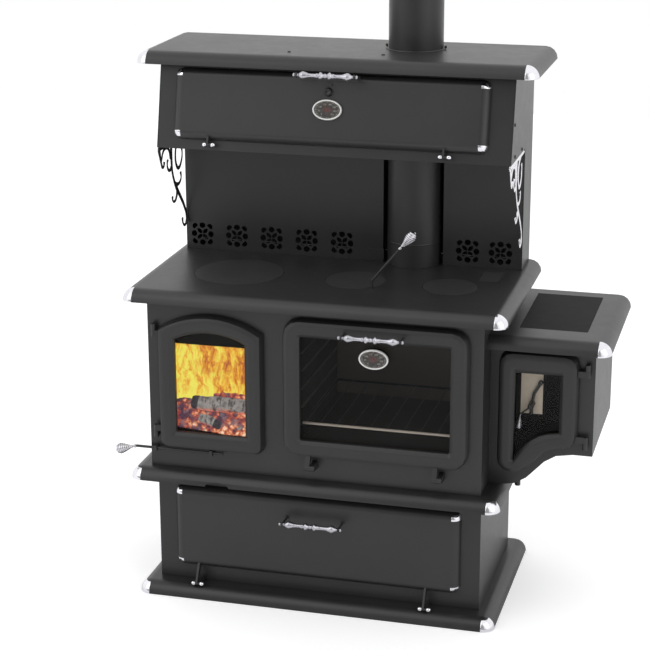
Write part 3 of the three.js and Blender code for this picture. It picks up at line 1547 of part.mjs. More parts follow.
// A group in a door's own frame, set on the plane that the door closes against.
function doorGroup(matrix) {
  const group = new THREE.Group();
  matrix.decompose(group.position, group.quaternion, group.scale);
  stove.add(group);
  return group;
}

// Base and storage door
add(stove, 'base_plinth', roundedPan(plinth), 'black');
add(stove, 'base_cabinet', baseCabinet(), 'black');
add(stove, 'mid_shelf', midShelfSheet(), 'black');

const storage = doorGroup(doorMatrix(0, baseFront, storageDoorBottom));
const storagePan = panDoor(storageDoorWidth, storageDoorHeight);
const barHeight = panFace + handleStandoff;
add(storage, 'storage_door', join(roundedPan(storagePan), ...hingeStraps(storageHinge),
  ...ballPins(storageHinge),
  ...handlePosts(storageHandleHeight, panFace, barHeight)), 'black');
add(storage, 'storage_door_handle', turnedHandle(storageHandleHeight, barHeight), 'nickel');

// Body
add(stove, 'body_front', bodyFront(), 'black');
add(stove, 'body_casing', bodyCasing(), 'black');
add(stove, 'firebox', firebox(), 'iron');
add(stove, 'firebrick_lining', firebrickLining(), 'brick');
add(stove, 'fire_grate', fireGrate(), 'iron');
add(stove, 'ash_pan', ashPan(), 'iron');
add(stove, 'smoke_baffle', smokeBaffle(), 'iron');
add(stove, 'oven_box', ovenBox(), 'oven');
add(stove, 'oven_rack', ovenRack(), 'nickel');
add(stove, 'cooktop', cooktopSheet(), 'top');
roundHobs.forEach((hob, i) => add(stove, ['hob_plate_large', 'hob_plate_middle', 'hob_plate_right'][i],
  hobPlate(hob),
  'top'));
add(stove, 'cleanout_cover', cleanoutCover(), 'top');

// Fire door
const fire = doorGroup(firePlace);
const fireArmEnd = -fireDoorWidth / 2 + 8;
add(fire, 'fire_door', join(castFrame(fireOuter, fireInner),
  ...doorKnuckles(fireHingeX, fireHinges, fireArmEnd)),
  'black');
addGlass(fire, 'fire_door_glass', pane(fireOuter, fireInner));

// Oven door
const oven = doorGroup(ovenPlace);
const ovenBar = frameDepth + handleStandoff - 10;
const ovenGlassFace = rebateDepth;
const ovenBezelDepth = frameDepth - ovenGlassFace + 4;
add(oven, 'oven_door', join(castFrame(ovenOuter, ovenInner), movingOvenLugs(),
  ...handlePosts(ovenHandleHeight, frameDepth, ovenBar)), 'black');
addGlass(oven, 'oven_door_glass', pane(ovenOuter, ovenInner));
add(oven, 'oven_door_handle', turnedHandle(ovenHandleHeight, ovenBar), 'nickel');
add(oven, 'oven_thermometer', thermometerBezel(ovenDialHeight, ovenGlassFace, ovenBezelDepth), 'nickel');
add(oven, 'oven_dial', thermometerDial(ovenDialHeight, ovenGlassFace, ovenBezelDepth), 'dial');

// Flue, backsplash, closet and shelf
add(stove, 'flue_collar', flueCollar(), 'iron');
add(stove, 'flue_pipe', fluePipe(), 'black');
add(stove, 'pipe_flange', pipeFlange(), 'black');
add(stove, 'upper_casing', upperCasing(), 'black');
add(stove, 'backsplash_left', backsplashLeft(), 'black');
add(stove, 'backsplash_right', backsplashRight(), 'black');
add(stove, 'small_plate', smallPlate(), 'black');
add(stove, 'closet_shell', closetShell(), 'black');
add(stove, 'top_shelf', topShelfSheet(), 'top');
const bracketX = closetWidth / 2 - bracketInset;
add(stove, 'scroll_bracket_left', scrollBracket(-bracketX, -1), 'black');
add(stove, 'scroll_bracket_right', scrollBracket(bracketX, 1), 'nickel');

const closet = doorGroup(closetPlace(closetDoorCentre));
const closetPan = panDoor(closetDoorWidth, closetDoorHeight);
const catchHeight = closetHandleHeight - 20;
add(closet, 'closet_door', join(roundedPan(closetPan), ...hingeStraps(closetHinge),
  ...ballPins(closetHinge),
  ...handlePosts(closetHandleHeight, panFace - closetRollDrop, barHeight),
  roundBar('z', 0, closetKnobHeight, 9, panFace - weldOverlap, panFace + 10, 12),
  block(-9, 9, catchHeight - 3, catchHeight + 3, panFace - weldOverlap, panFace + 5)), 'black');
add(closet, 'closet_door_handle', turnedHandle(closetHandleHeight, barHeight), 'nickel');
const dialBase = panFace + seatGap;
add(closet, 'closet_thermometer', thermometerBezel(closetDialHeight, dialBase, closetBezelDepth),
  'nickel');
add(closet, 'closet_dial', thermometerDial(closetDialHeight, dialBase, closetBezelDepth), 'dial');

// Side cabinet
add(stove, 'side_cabinet', sideCabinet(), 'black');
add(stove, 'side_top', sideTopSheet(), 'top');
add(stove, 'reservoir_lid', reservoirLid(), 'top');
add(stove, 'water_tank', waterTank(), 'steel');
add(stove, 'tap_plate', tapPlate(), 'steel');
add(stove, 'tap_body', tapBody(), 'black');
add(stove, 'tap_lever', tapLever(), 'black');
const tapDown = new THREE.Vector3(-0.12, -0.1, -1).normalize();
add(stove, 'tap_handle', teardrop(tapLeverEnd.clone().addScaledVector(tapDown, tapSeat), tapDown,
  tapHandleSize), 'nickel');

const sideDoor = doorGroup(sidePlace);
const sideArmEnd = (sideDoorRight - sideDoorLeft) / 2 - 8;
add(sideDoor, 'side_door', join(castFrame(sideOuter, sideInner), ...doorKnuckles(sideHingeX, sideHinges,
  sideArmEnd)), 'black');
addGlass(sideDoor, 'side_door_glass', pane(sideOuter, sideInner));

// Corner caps of the cooktop, the top shelf and the reservoir's top
for (const [name, sizes] of [['cooktop', cooktop], ['top_shelf', topShelf]]) {
  const [left, right] = sheetCaps(sizes);
  add(stove, `${name}_cap_left`, left, 'nickel');
  add(stove, `${name}_cap_right`, right, 'nickel');
}
add(stove, 'side_top_cap', sheetCaps(sideTop)[0], 'nickel');

// Controls
add(stove, 'damper_lever', damperLever(), 'black');
add(stove, 'damper_handle', teardrop(damperEnd, damperDirection), 'nickel');
add(stove, 'air_rod', airRod(), 'black');
add(stove, 'air_handle', teardrop(airTip, airDirection, 0.94), 'nickel');

export default stove;
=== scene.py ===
# %% [markdown]
# # A wood cookstove, dressed
#
# The stove comes in as a fixed frame of plain solids. Each solid already has its real size and its real
# place, and each door, lid and lever hangs on its own body. This lesson gives those solids their looks:
# eased edges, turned nickel, paint, glass and a fire. Every length is in metres.

import json
import math

import bmesh
import bpy
from mathutils import Matrix, Vector

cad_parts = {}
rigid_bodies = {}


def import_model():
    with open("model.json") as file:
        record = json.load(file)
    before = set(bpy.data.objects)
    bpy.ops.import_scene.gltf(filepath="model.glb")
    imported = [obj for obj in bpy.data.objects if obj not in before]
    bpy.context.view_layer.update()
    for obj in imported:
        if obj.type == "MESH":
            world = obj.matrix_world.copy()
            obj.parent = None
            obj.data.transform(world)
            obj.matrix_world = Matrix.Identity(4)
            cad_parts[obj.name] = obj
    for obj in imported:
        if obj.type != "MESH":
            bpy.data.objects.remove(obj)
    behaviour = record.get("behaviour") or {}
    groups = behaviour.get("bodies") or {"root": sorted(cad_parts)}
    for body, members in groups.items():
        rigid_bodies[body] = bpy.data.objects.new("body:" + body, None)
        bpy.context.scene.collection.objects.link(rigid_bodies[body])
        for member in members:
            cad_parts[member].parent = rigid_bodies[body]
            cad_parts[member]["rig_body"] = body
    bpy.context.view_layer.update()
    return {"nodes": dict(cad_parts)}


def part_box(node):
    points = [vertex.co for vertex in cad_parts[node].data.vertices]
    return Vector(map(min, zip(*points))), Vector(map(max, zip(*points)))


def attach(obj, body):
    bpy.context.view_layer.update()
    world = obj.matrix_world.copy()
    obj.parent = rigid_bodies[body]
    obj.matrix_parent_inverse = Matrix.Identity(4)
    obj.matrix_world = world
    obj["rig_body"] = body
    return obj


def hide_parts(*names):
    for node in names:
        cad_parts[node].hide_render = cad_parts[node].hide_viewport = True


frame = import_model()

# %% [markdown]
# ## The camera
#
# The photograph was taken from a little to the right of the stove and a little above it, with a long
# lens. The place and the lens were worked out from the stove's own straight edges, so that lines in the
# render fall on the same lines in the photograph. A quaternion that looks back along a direction, and
# then a small roll, is easier to read than three Euler angles.

# %% Camera
AZIMUTH, ELEVATION, ROLL = math.radians(15.10), math.radians(17.475), math.radians(-0.196)
STATION = (1.292, -4.654, 2.358)
PICTURE_SIDE, FOCAL_PIXELS = 650, 1884.64
SENSOR_WIDTH = 36
FAR_END = 100

back = Vector((
    math.sin(AZIMUTH) * math.cos(ELEVATION),
    -math.cos(AZIMUTH) * math.cos(ELEVATION),
    math.sin(ELEVATION),
))
camera = bpy.data.objects.new("camera", bpy.data.cameras.new("camera"))
bpy.context.scene.collection.objects.link(camera)
bpy.context.scene.camera = camera
camera.data.sensor_width = SENSOR_WIDTH
camera.data.lens = SENSOR_WIDTH * FOCAL_PIXELS / PICTURE_SIDE
camera.location = STATION
level = (-back).to_track_quat("-Z", "Y").to_matrix()
camera.rotation_euler = (level @ Matrix.Rotation(ROLL, 3, "Z")).to_euler()
camera.data.clip_end = FAR_END
bpy.context.scene.view_settings.view_transform = "Standard"
print("lens", round(camera.data.lens, 1), "mm")

# %% [markdown]
# ## Mixing a finish
#
# Blender's shader nodes do arithmetic one node at a time, which is slow to wire by hand. A small class
# wraps a node's socket, so that `1 - mask * 0.3` writes the Math nodes for us. Colours and vectors have
# their own mix. One method adds any other node: its settings are set first, and then its inputs are given
# values or links.

# %% Sockets that add up


class Wire:
    """One output of a node, on which Python's own signs put Math nodes."""

    def __init__(self, finish, socket):
        self.finish, self.socket = finish, socket

    def calculate(self, operation, first, second):
        """One Math node with two inputs."""
        return self.finish.add("Math", {"operation": operation}, {0: first, 1: second})

    def __add__(self, other):
        return self.calculate("ADD", self, other)

    def __sub__(self, other):
        return self.calculate("SUBTRACT", self, other)

    def __rsub__(self, other):
        return self.calculate("SUBTRACT", other, self)

    def __mul__(self, other):
        return self.calculate("MULTIPLY", self, other)

    def __truediv__(self, other):
        return self.calculate("DIVIDE", self, other)

    def __pow__(self, other):
        return self.calculate("POWER", self, other)

    __radd__ = __add__
    __rmul__ = __mul__

    def larger(self, other):
        """The larger of two values at each point."""
        return self.calculate("MAXIMUM", self, other)

    def between(self, low, high):
        """0 where the value is under low, 1 where it is over high, and a straight ramp between them."""
        inputs = {"Value": self, "From Min": low, "From Max": high}
        return self.finish.add("MapRange", {"clamp": True}, inputs)


class Finish:
    """A material with one Principled shader, and a short way to add nodes to it."""

    def __init__(self, name, **constants):
        self.material = bpy.data.materials.new(name)
        self.material.use_nodes = True
        self.tree = self.material.node_tree
        self.shader = self.tree.nodes["Principled BSDF"]
        for key, value in constants.items():
            self.shader.inputs[key.replace("_", " ")].default_value = value

    def add(self, kind, settings=None, inputs=None, output=0):
        """Add one node, and hand back one of its outputs."""
        node = self.tree.nodes.new("ShaderNode" + kind)
        for key, value in (settings or {}).items():
            setattr(node, key, value)
        for key, value in (inputs or {}).items():
            self.link(value, node.inputs[key])
        return Wire(self, node.outputs[output])

    def link(self, value, socket):
        """Give a socket a wire, or else a plain value."""
        if isinstance(value, Wire):
            self.tree.links.new(value.socket, socket)
        else:
            socket.default_value = value

    def place(self, scale=(1, 1, 1), location=(0, 0, 0), rotation=(0, 0, 0)):
        """A point of the piece in metres, stretched where a pattern is finer one way than the other."""
        point = self.add("TexCoord", output="Object")
        inputs = {"Vector": point, "Scale": scale, "Location": location, "Rotation": rotation}
        return self.add("Mapping", {}, inputs)

    def axis(self, name, vector=None):
        """One coordinate of a vector, or else of the place on the piece."""
        vector = vector or self.add("TexCoord", output="Object")
        return self.add("SeparateXYZ", {}, {0: vector}, output=name)

    def noise(self, scale, detail=3, roughness=0.5, at=None):
        """Clouds from 0 to 1. A larger scale makes them smaller."""
        inputs = {"Vector": at or self.place(), "Scale": scale, "Detail": detail, "Roughness": roughness}
        return self.add("TexNoise", {}, inputs)

    def blend(self, factor, first, second):
        """The first colour where the factor is 0, and the second where it is 1."""
        settings = {"data_type": "RGBA", "clamp_factor": True}
        return self.add("Mix", settings, {0: factor, 6: first, 7: second}, output=2)

    def set(self, **inputs):
        """Give the shader's inputs their values or wires. An underscore stands for a space."""
        for key, value in inputs.items():
            self.link(value, self.shader.inputs[key.replace("_", " ")])
        return self

    def bump(self, height, strength, distance):
        """Shade a height into the surface, without moving it."""
        self.set(Normal=self.add("Bump", {}, {"Height": height, "Strength": strength, "Distance": distance}))
        return self


def grey(value):
    """A neutral colour from its 0 to 255 screen value."""
    linear = (value / 255 / 12.92) if value <= 10 else ((value / 255 + 0.055) / 1.055) ** 2.4
    return (linear, linear, linear, 1)


def colour(red, green, blue):
    """A colour from its three screen values."""
    return tuple(grey(v)[0] for v in (red, green, blue)) + (1,)


print("a mid grey is", tuple(round(v, 3) for v in grey(128)))

# %% [markdown]
# ## The black paint
#
# Nearly all of the stove is steel sheet under a charcoal stove paint. Real stove paint is never flat: it
# has a fine orange peel of about a millimetre, it is a little shinier where hands and cloths have rubbed
# it, and dust greys it by a few parts in a hundred. Noise of three sizes gives all three: wide clouds for
# the colour, worn patches for the shine and a fine grain for the peel.

# %% Painted steel


def stove_paint(name, shade, shine, peel=0.12, grain=900, index=1.5):
    """Paint of one grey shade. Shine is its roughness, and grain is how many peel marks a metre has."""
    paint = Finish(name, IOR=index)
    cloudy = paint.noise(5, 4, 0.6)
    fine = paint.noise(grain, 2)
    worn = paint.noise(28, 5, 0.65).between(0.45, 0.75)
    base = paint.blend(cloudy.between(0.3, 0.7), grey(shade - 3), grey(shade + 4))
    paint.set(
        Base_Color=paint.blend(fine.between(0.35, 0.65) * 0.35, base, grey(shade + 12)),
        Roughness=shine + (cloudy - 0.5) * 0.10 + fine * 0.05 - worn * 0.04,
    )
    return paint.bump(fine, peel, 0.0006).material


painted_steel = stove_paint("painted_steel", 36, 0.34)
door_paint = stove_paint("door_paint", 40, 0.36)
cast_black = stove_paint("cast_black", 35, 0.42, 0.25, 420)
top_paint = stove_paint("top_paint", 43, 0.36, 0.10, 1100)
hob_paint = stove_paint("hob_paint", 52, 0.44, 0.20, 700)
lid_paint = stove_paint("lid_paint", 30, 0.70, 0.20, 700, 1.25)
# Near black, as painted shade: the steel water tank and the inside of the side cabinet, both in shade behind
# glass, and the sooty plate over the flames, painted darker still as shade.
shade_and_soot_black = stove_paint("shade_and_soot_black", 9, 0.74, 0.20, 500, 1.2)
paints = (painted_steel, door_paint, cast_black, top_paint, hob_paint, lid_paint, shade_and_soot_black)
print("paints", [paint.name for paint in paints])

# %% [markdown]
# ## Nickel
#
# The trim is plated with nickel, and in a white room its own tone is nearly white. Plating over a casting
# keeps soft ripples under the shine, and polish leaves fine scratches that show as a varied roughness.

# %% Nickel plate


def nickel(name, tone, shine):
    """Plated metal of one tone, with its roughness."""
    plate = Finish(name, Metallic=1.0)
    cloud = plate.noise(40, 4)
    scratch = plate.noise(220, 6, 0.7, plate.place(scale=(1, 6, 1)))
    plate.set(
        Base_Color=plate.blend(cloud.between(0.35, 0.75), tone, tuple(0.86 * v for v in tone[:3]) + (1,)),
        Roughness=shine + scratch.between(0.4, 0.8) * 0.12,
    )
    return plate.bump(plate.noise(150, 2), 0.05, 0.0008).material


nickel_plate = nickel("nickel_plate", colour(246, 245, 250), 0.12)
# A darker, slightly violet copy of the nickel for the handles: painted shade standing in for their dim
# reflection.
handle_nickel_shaded = nickel("handle_nickel_shaded", colour(196, 195, 202), 0.24)
grip_core = nickel("grip_core", colour(196, 194, 198), 0.20)
tank_steel = nickel("tank_steel", colour(190, 190, 188), 0.30)
print("metals", [metal.name for metal in (nickel_plate, handle_nickel_shaded, grip_core, tank_steel)])

# %% [markdown]
# ## Iron, brick and enamel inside
#
# Behind the glass there is rough grey iron, firebrick under patches of soot, and an oven lined with dark
# enamel that has pale flecks.

# %% Inside finishes


def rough_iron():
    """Grey castings with a little rust."""
    iron = Finish("grey_iron", IOR=1.5)
    grain = iron.noise(260, 5, 0.7)
    rust = iron.noise(14, 5).between(0.55, 0.75)
    iron.set(
        Base_Color=iron.blend(rust * 0.5, iron.blend(grain, grey(38), grey(66)), colour(74, 54, 44)),
        Roughness=0.62 + grain * 0.2,
    )
    return iron.bump(grain, 0.5, 0.001).material


def fire_brick():
    """Buff clay under patches of soot."""
    brick = Finish("fire_brick", IOR=1.5)
    grain = brick.noise(180, 6, 0.7)
    soot = brick.noise(9, 5).between(0.35, 0.7)
    clay = brick.blend(grain.between(0.3, 0.7), colour(176, 140, 98), colour(204, 172, 128))
    brick.set(Base_Color=brick.blend(soot, clay, grey(36)), Roughness=0.85 + grain * 0.1)
    return brick.bump(grain, 0.6, 0.0015).material


def enamel():
    """Dark enamel with pale flecks."""
    glaze = Finish("oven_enamel", IOR=1.52)
    fleck = glaze.noise(520, 2).between(0.62, 0.68)
    cloud = glaze.noise(7, 3)
    ground = glaze.blend(cloud, colour(26, 24, 22), colour(42, 38, 34))
    glaze.set(
        Base_Color=glaze.blend(fleck * 0.6, ground, colour(70, 66, 60)),
        Roughness=0.50 + cloud * 0.15,
    )
    return glaze.bump(glaze.noise(400, 3), 0.05, 0.0005).material


grey_iron, firebrick, oven_lining = rough_iron(), fire_brick(), enamel()
print("inside", grey_iron.name, firebrick.name, oven_lining.name)

# %% [markdown]
# ## Glass
#
# A stove's door glass is a clear ceramic sheet. It is a plain smooth transmission, but a lamp's rays
# would stop at it, because a path tracer can't find a small lamp through a refracting sheet. So rays that
# come from lamps, and soft bounces, meet a transparent shader in its place.

# %% Door glass


def pane_glass(name, clear_tone, shade_tone):
    """Glass of one tone, and the tone that lamps and soft bounces meet in it."""
    glass = Finish(name, IOR=1.16, Transmission_Weight=1.0, Roughness=0.0)
    smudge = glass.noise(30, 5).between(0.5, 0.8)
    glass.set(Base_Color=glass.blend(smudge, grey(clear_tone), grey(clear_tone - 8)))
    from_lamp = glass.add("LightPath", output="Is Shadow Ray")
    through = from_lamp.larger(glass.add("LightPath", output="Is Diffuse Ray"))
    clear = glass.add("BsdfTransparent", {}, {"Color": grey(shade_tone)})
    both = glass.add("MixShader", {}, {0: through, 1: Wire(glass, glass.shader.outputs[0]), 2: clear})
    glass.link(both, glass.tree.nodes["Material Output"].inputs["Surface"])
    return glass.material


door_glass = pane_glass("door_glass", 245, 245)
smoked_glass = pane_glass("smoked_glass", 236, 225)
side_glass = pane_glass("side_glass", 252, 252)
print("glass", [glass.name for glass in (door_glass, smoked_glass, side_glass)])

# %% [markdown]
# ## Thin coats
#
# Ink, pointers and knobs need no more than one colour with a fine grain. The same coat, in other tones,
# also paints light and shade: the rack wire lit in front and shaded behind, the lit steel of the tap
# plate, a painted reflection on the thermometer rims, painted light on the oven's back wall and painted
# highlights on the tops of its ledges.

# %% Thin coats


def plain_coat(name, first, second, shine, grain, metal=0.0):
    """A thin coat of one colour with a fine grain, for ink, pointers and wire."""
    coat = Finish(name, IOR=1.5, Metallic=metal)
    speck = coat.noise(grain, 3)
    coat.set(Base_Color=coat.blend(speck, first, second), Roughness=shine + speck * 0.08)
    return coat.bump(speck, 0.1, 0.0003).material


print_ink = plain_coat("dial_ink", colour(168, 164, 156), colour(150, 146, 138), 0.45, 600)
pointer_red = plain_coat("pointer_red", colour(112, 60, 56), colour(96, 52, 48), 0.35, 500)
# Near white, with little metal: a painted reflection on the nickel rims of the thermometers.
rim_sheen_white = plain_coat("rim_sheen_white", colour(236, 236, 234), colour(222, 221, 218), 0.22, 300, 0.35)
knob_black = plain_coat("knob_black", grey(16), grey(24), 0.22, 300)
# The tap plate is steel: this pale beige coat is painted light on it.
lit_tap_plate = plain_coat("lit_tap_plate", colour(246, 232, 210), colour(226, 210, 186), 0.45, 200)
# One rack metal in two tones: the front wire lit as a painted highlight, the others in painted shade.
rack_lit_wire = plain_coat("rack_lit_wire", colour(232, 220, 206), colour(200, 188, 174), 0.30, 240, 0.5)
rack_shaded_wire = plain_coat("rack_shaded_wire", grey(44), grey(60), 0.35, 240, 0.4)
# Painted light on the oven's back wall, and painted highlights on the tops of its ledges.
lit_oven_back = plain_coat("lit_oven_back", colour(118, 108, 96), colour(96, 87, 76), 0.45, 240)
ledge_highlight = plain_coat("ledge_highlight", grey(120), grey(92), 0.40, 240, 0.3)
print("coats", [coat.name for coat in (print_ink, pointer_red, rim_sheen_white, knob_black, lit_tap_plate, rack_lit_wire)])

# %% [markdown]
# ## A finish for each slot
#
# The frame says which material slot each solid has, and which body it hangs on. Most solids take their
# slot's finish. The few that differ are named further down.

# %% Which finish each slot takes
finish_of_slot = {
    "painted_sheet": painted_steel,
    "cast_black": cast_black,
    "cooking_top": top_paint,
    "nickel_plate": nickel_plate,
    "grey_iron": grey_iron,
    "firebrick": firebrick,
    "oven_lining": oven_lining,
    "tank_steel": tank_steel,
    "door_glass": door_glass,
    "dial_face": painted_steel,
}
slot_of_node = {name: node.material_slots[0].name for name, node in frame["nodes"].items()}
body_of_node = {name: node["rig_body"] for name, node in frame["nodes"].items()}
print("slots in use", sorted(set(slot_of_node.values())))

# %% [markdown]
# ## Easing the edges
#
# A folded or cast edge is never knife sharp, and it is the eased edge that catches the light. The frame's
# solids are loose triangles with sharp edges, so each is copied, the copy's corners are merged, its flat
# faces are joined, and a narrow bevel rounds what is still a sharp edge. Smooth shading up to an angle
# then hides the steps of the round parts.

# %% Small helpers for modelling


def only(piece):
    """Make this the one selected and active piece."""
    bpy.ops.object.select_all(action="DESELECT")
    piece.hide_set(False)
    piece.select_set(True)
    bpy.context.view_layer.objects.active = piece
    return piece


def placed(name, data):
    """A new object in the scene."""
    piece = bpy.data.objects.new(name, data)
    bpy.context.scene.collection.objects.link(piece)
    return piece


def edit(piece):
    """Open the piece for modelling, with all of it selected."""
    only(piece)
    bpy.ops.object.mode_set(mode="EDIT")
    bpy.ops.mesh.select_all(action="SELECT")


def close():
    """Leave the piece that is open for modelling."""
    bpy.ops.object.mode_set(mode="OBJECT")


def begin(add_shape, **settings):
    """Add a plain shape at the origin, and open it with all of it selected."""
    bpy.ops.object.select_all(action="DESELECT")
    add_shape(**settings)
    piece = bpy.context.object
    edit(piece)
    return piece


def stretch(x, y, z=1, about=(0, 0, 0)):
    """Scale what is selected about a fixed point."""
    bpy.ops.transform.resize(value=(x, y, z), center_override=about)


def modify(piece, kind, **settings):
    """Add one modifier and apply it at once."""
    only(piece)
    modifier = piece.modifiers.new(kind.lower(), kind)
    for key, value in settings.items():
        setattr(modifier, key, value)
    bpy.ops.object.modifier_apply(modifier=modifier.name)
    return piece


def settle(piece):
    """Move the piece's place into its mesh, so that the object itself sits at the origin."""
    only(piece)
    bpy.ops.object.transform_apply(location=True, rotation=True, scale=True)
    return piece


def smooth(piece, angle=35):
    """Shade smooth across edges that turn less than the angle."""
    only(piece)
    bpy.ops.object.shade_smooth_by_angle(angle=math.radians(angle))
    return piece


def dress(piece, name, material, body, slot, *nodes):
    """Name, paint and hang a finished piece, and say which solids it stands for."""
    piece.name = piece.data.name = name
    if material:
        piece.data.materials.clear()
        piece.data.materials.append(material)
    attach(piece, body)
    if nodes:
        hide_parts(*nodes)
    return piece


# %% Merged copies
MERGE = 0.00001
FLAT = math.radians(0.4)


def merged_copy(node):
    """A free copy of a solid, with its corners merged and its flat faces joined."""
    piece = placed(node + "_eased", frame["nodes"][node].data.copy())
    edit(piece)
    bpy.ops.mesh.remove_doubles(threshold=MERGE)
    bpy.ops.mesh.dissolve_limited(angle_limit=FLAT)
    bpy.ops.mesh.customdata_custom_splitnormals_clear()
    close()
    return piece


# %% [markdown]
# ## Cast door frames
#
# The frames of the three glazed doors are castings, and their fronts are well rounded, far more than a
# folded sheet. A bevel needs clean faces beside it, but the front of a frame with a window is one face
# tied up by slanting seams. So the front is first cut straight across, the slanting seams are dissolved,
# and only then are both of its outlines rounded.

# %% Rounded fronts
ON_THE_CUT = 0.00002
SAME_LEVEL = 0.0001


def front_of(piece):
    """The faces of a frame's front: its largest flat face, and what lies level with it."""
    mesh = bmesh.from_edit_mesh(piece.data)
    facing = [f for f in mesh.faces if f.normal.y < -0.999]
    level = max(facing, key=lambda f: f.calc_area()).calc_center_median().y
    return mesh, {f for f in facing if abs(f.calc_center_median().y - level) < SAME_LEVEL}


def pick_edges(piece, rule):
    """Select the edges that touch the front and fit a rule of how many of its faces they touch."""
    bpy.ops.mesh.select_all(action="DESELECT")
    mesh, front = front_of(piece)
    for edge in mesh.edges:
        if rule(edge, len([f for f in edge.link_faces if f in front])):
            edge.select_set(True)
    bmesh.update_edit_mesh(piece.data)


def round_front(piece, width, cuts):
    """Round both outlines of a frame's front, after straight cuts have taken the place of its seams."""
    edit(piece)
    bpy.ops.mesh.select_mode(type="FACE")
    for place, normal in cuts:
        bpy.ops.mesh.select_all(action="DESELECT")
        mesh, front = front_of(piece)
        for face in front:
            face.select_set(True)
        bmesh.update_edit_mesh(piece.data)
        bpy.ops.mesh.bisect(plane_co=place, plane_no=normal)
    bpy.ops.mesh.select_mode(type="EDGE")

    def slants(edge):
        """Whether the edge lies on none of the cuts."""
        ends = [v.co for v in edge.verts]
        return all(max(abs((end - Vector(place)).dot(Vector(normal))) for end in ends) >= ON_THE_CUT
                   for place, normal in cuts)

    pick_edges(piece, lambda edge, touched: touched == 2 and slants(edge))
    bpy.ops.mesh.dissolve_edges(use_verts=False)
    pick_edges(piece, lambda edge, touched: touched == 1)
    bpy.ops.mesh.bevel(offset=width, segments=5, profile=0.5, clamp_overlap=True, loop_slide=False)
    bpy.ops.mesh.select_mode(type="VERT")
    close()
    print("rounded the front of", piece.name)
    return piece


def upright_cut(x):
    """An upright plane across the stove, as a place and a direction."""
    return (x, 0, 0), (1, 0, 0)


def level_cut(z):
    """A level plane."""
    return (0, 0, z), (0, 0, 1)


front_round = 0.006
# The cuts run across the bars of each frame.
front_cuts = {
    "oven_door": [upright_cut(0.0975), upright_cut(0.2575)],
    "fire_door": [level_cut(0.65)],
    "side_door": [level_cut(0.65)],
}

# %% [markdown]
# ## Rosette vents
#
# Warm air rises through rosettes that are punched in the backsplash. One rosette is four quarters, each a
# leaf, an eye and a petal. The holes are drawn flat, given depth, and taken out of the sheet with a
# Boolean.

# %% Vent cutters
EYE_POINTS = 16
eye_middle, eye_along, eye_across = 25.5, 8.4, 9.2
eye_turns = [math.tau * k / EYE_POINTS for k in range(EYE_POINTS)]
eye = [(eye_middle + eye_along * math.cos(turn), eye_across * math.sin(turn)) for turn in eye_turns]
leaf = [(1.6, 0), (5, -3.6), (10.5, -5.8), (16.5, -4.8), (22.8, 0), (16.5, 4.8), (10.5, 5.8), (5, 3.6)]
petal = [(27, 0), (27.6, -8), (33.5, -8.8), (39, -5.2), (40, 0), (39, 5.2), (33.5, 8.8), (27.6, 8)]
vent_height, behind_sheet, through_sheet = 955, 0.427, 0.009


def swung(shape, x, z, turn):
    """A hole's outline in millimetres, swung about the middle of its rosette."""
    return [(x + along * math.cos(turn) - across * math.sin(turn),
             z + along * math.sin(turn) + across * math.cos(turn)) for along, across in shape]


def rosette(x, z):
    """The holes of one rosette: four eyes, and four leaves and petals between them."""
    holes = []
    for quarter in range(4):
        turn = quarter * math.pi / 2
        holes.append(swung(eye, x, z, turn))
        holes += [swung(shape, x, z, turn + math.pi / 4) for shape in (leaf, petal)]
    return holes


def vent_cutter(rosettes):
    """All the holes of one sheet, with depth."""
    points, faces = [], []
    for x in rosettes:
        for hole in rosette(x, vent_height):
            faces.append(tuple(range(len(points), len(points) + len(hole))))
            points += [(px / 1000, behind_sheet, pz / 1000) for px, pz in hole]
    mesh = bpy.data.meshes.new("vents")
    mesh.from_pydata(points, [], faces)
    cutter = placed("vents", mesh)
    edit(cutter)
    bpy.ops.mesh.extrude_region_move(TRANSFORM_OT_translate={"value": (0, -through_sheet, 0)})
    bpy.ops.mesh.select_all(action="SELECT")
    bpy.ops.mesh.normals_make_consistent(inside=False)
    close()
    return cutter


vents = {"backsplash_left": [-448 + 105.5 * k for k in range(5)], "backsplash_right": [341, 435]}
print("rosettes", {node: len(places) for node, places in vents.items()})

# %% [markdown]
# ## All the plain pieces
#
# Now every solid that keeps its shape gets its eased copy. The ones that are made anew further on, such
# as the handles, are left out here.

# %% Eased copies of the solids
NARROW_EASE = 0.0006


def eased(node, width=NARROW_EASE, material=None):
    """The dressed copy of a solid, with its sharp edges rounded by a width."""
    piece = merged_copy(node)
    if node in front_cuts:
        round_front(piece, front_round, front_cuts[node])
    if node in vents:
        cutter = vent_cutter(vents[node])
        modify(piece, "BOOLEAN", object=cutter, operation="DIFFERENCE", solver="EXACT")
        bpy.data.objects.remove(cutter)
        width = 0  # The pierced sheets keep their punched rims.
    if width:
        modify(piece, "BEVEL", width=width, segments=2, limit_method="ANGLE", angle_limit=math.radians(40))
    smooth(piece)
    modify(piece, "WEIGHTED_NORMAL", keep_sharp=True)
    slot = slot_of_node[node]
    return dress(piece, node + "_eased", material or finish_of_slot[slot], body_of_node[node], slot, node)


replaced_by_hand = {
    "cooktop_cap_left", "cooktop_cap_right", "top_shelf_cap_left", "top_shelf_cap_right", "side_top_cap",
    "storage_door_handle", "oven_door_handle", "closet_door_handle",
    "oven_thermometer", "oven_dial", "closet_thermometer", "closet_dial",
    "damper_handle", "air_handle", "tap_handle", "scroll_bracket_left", "scroll_bracket_right",
}
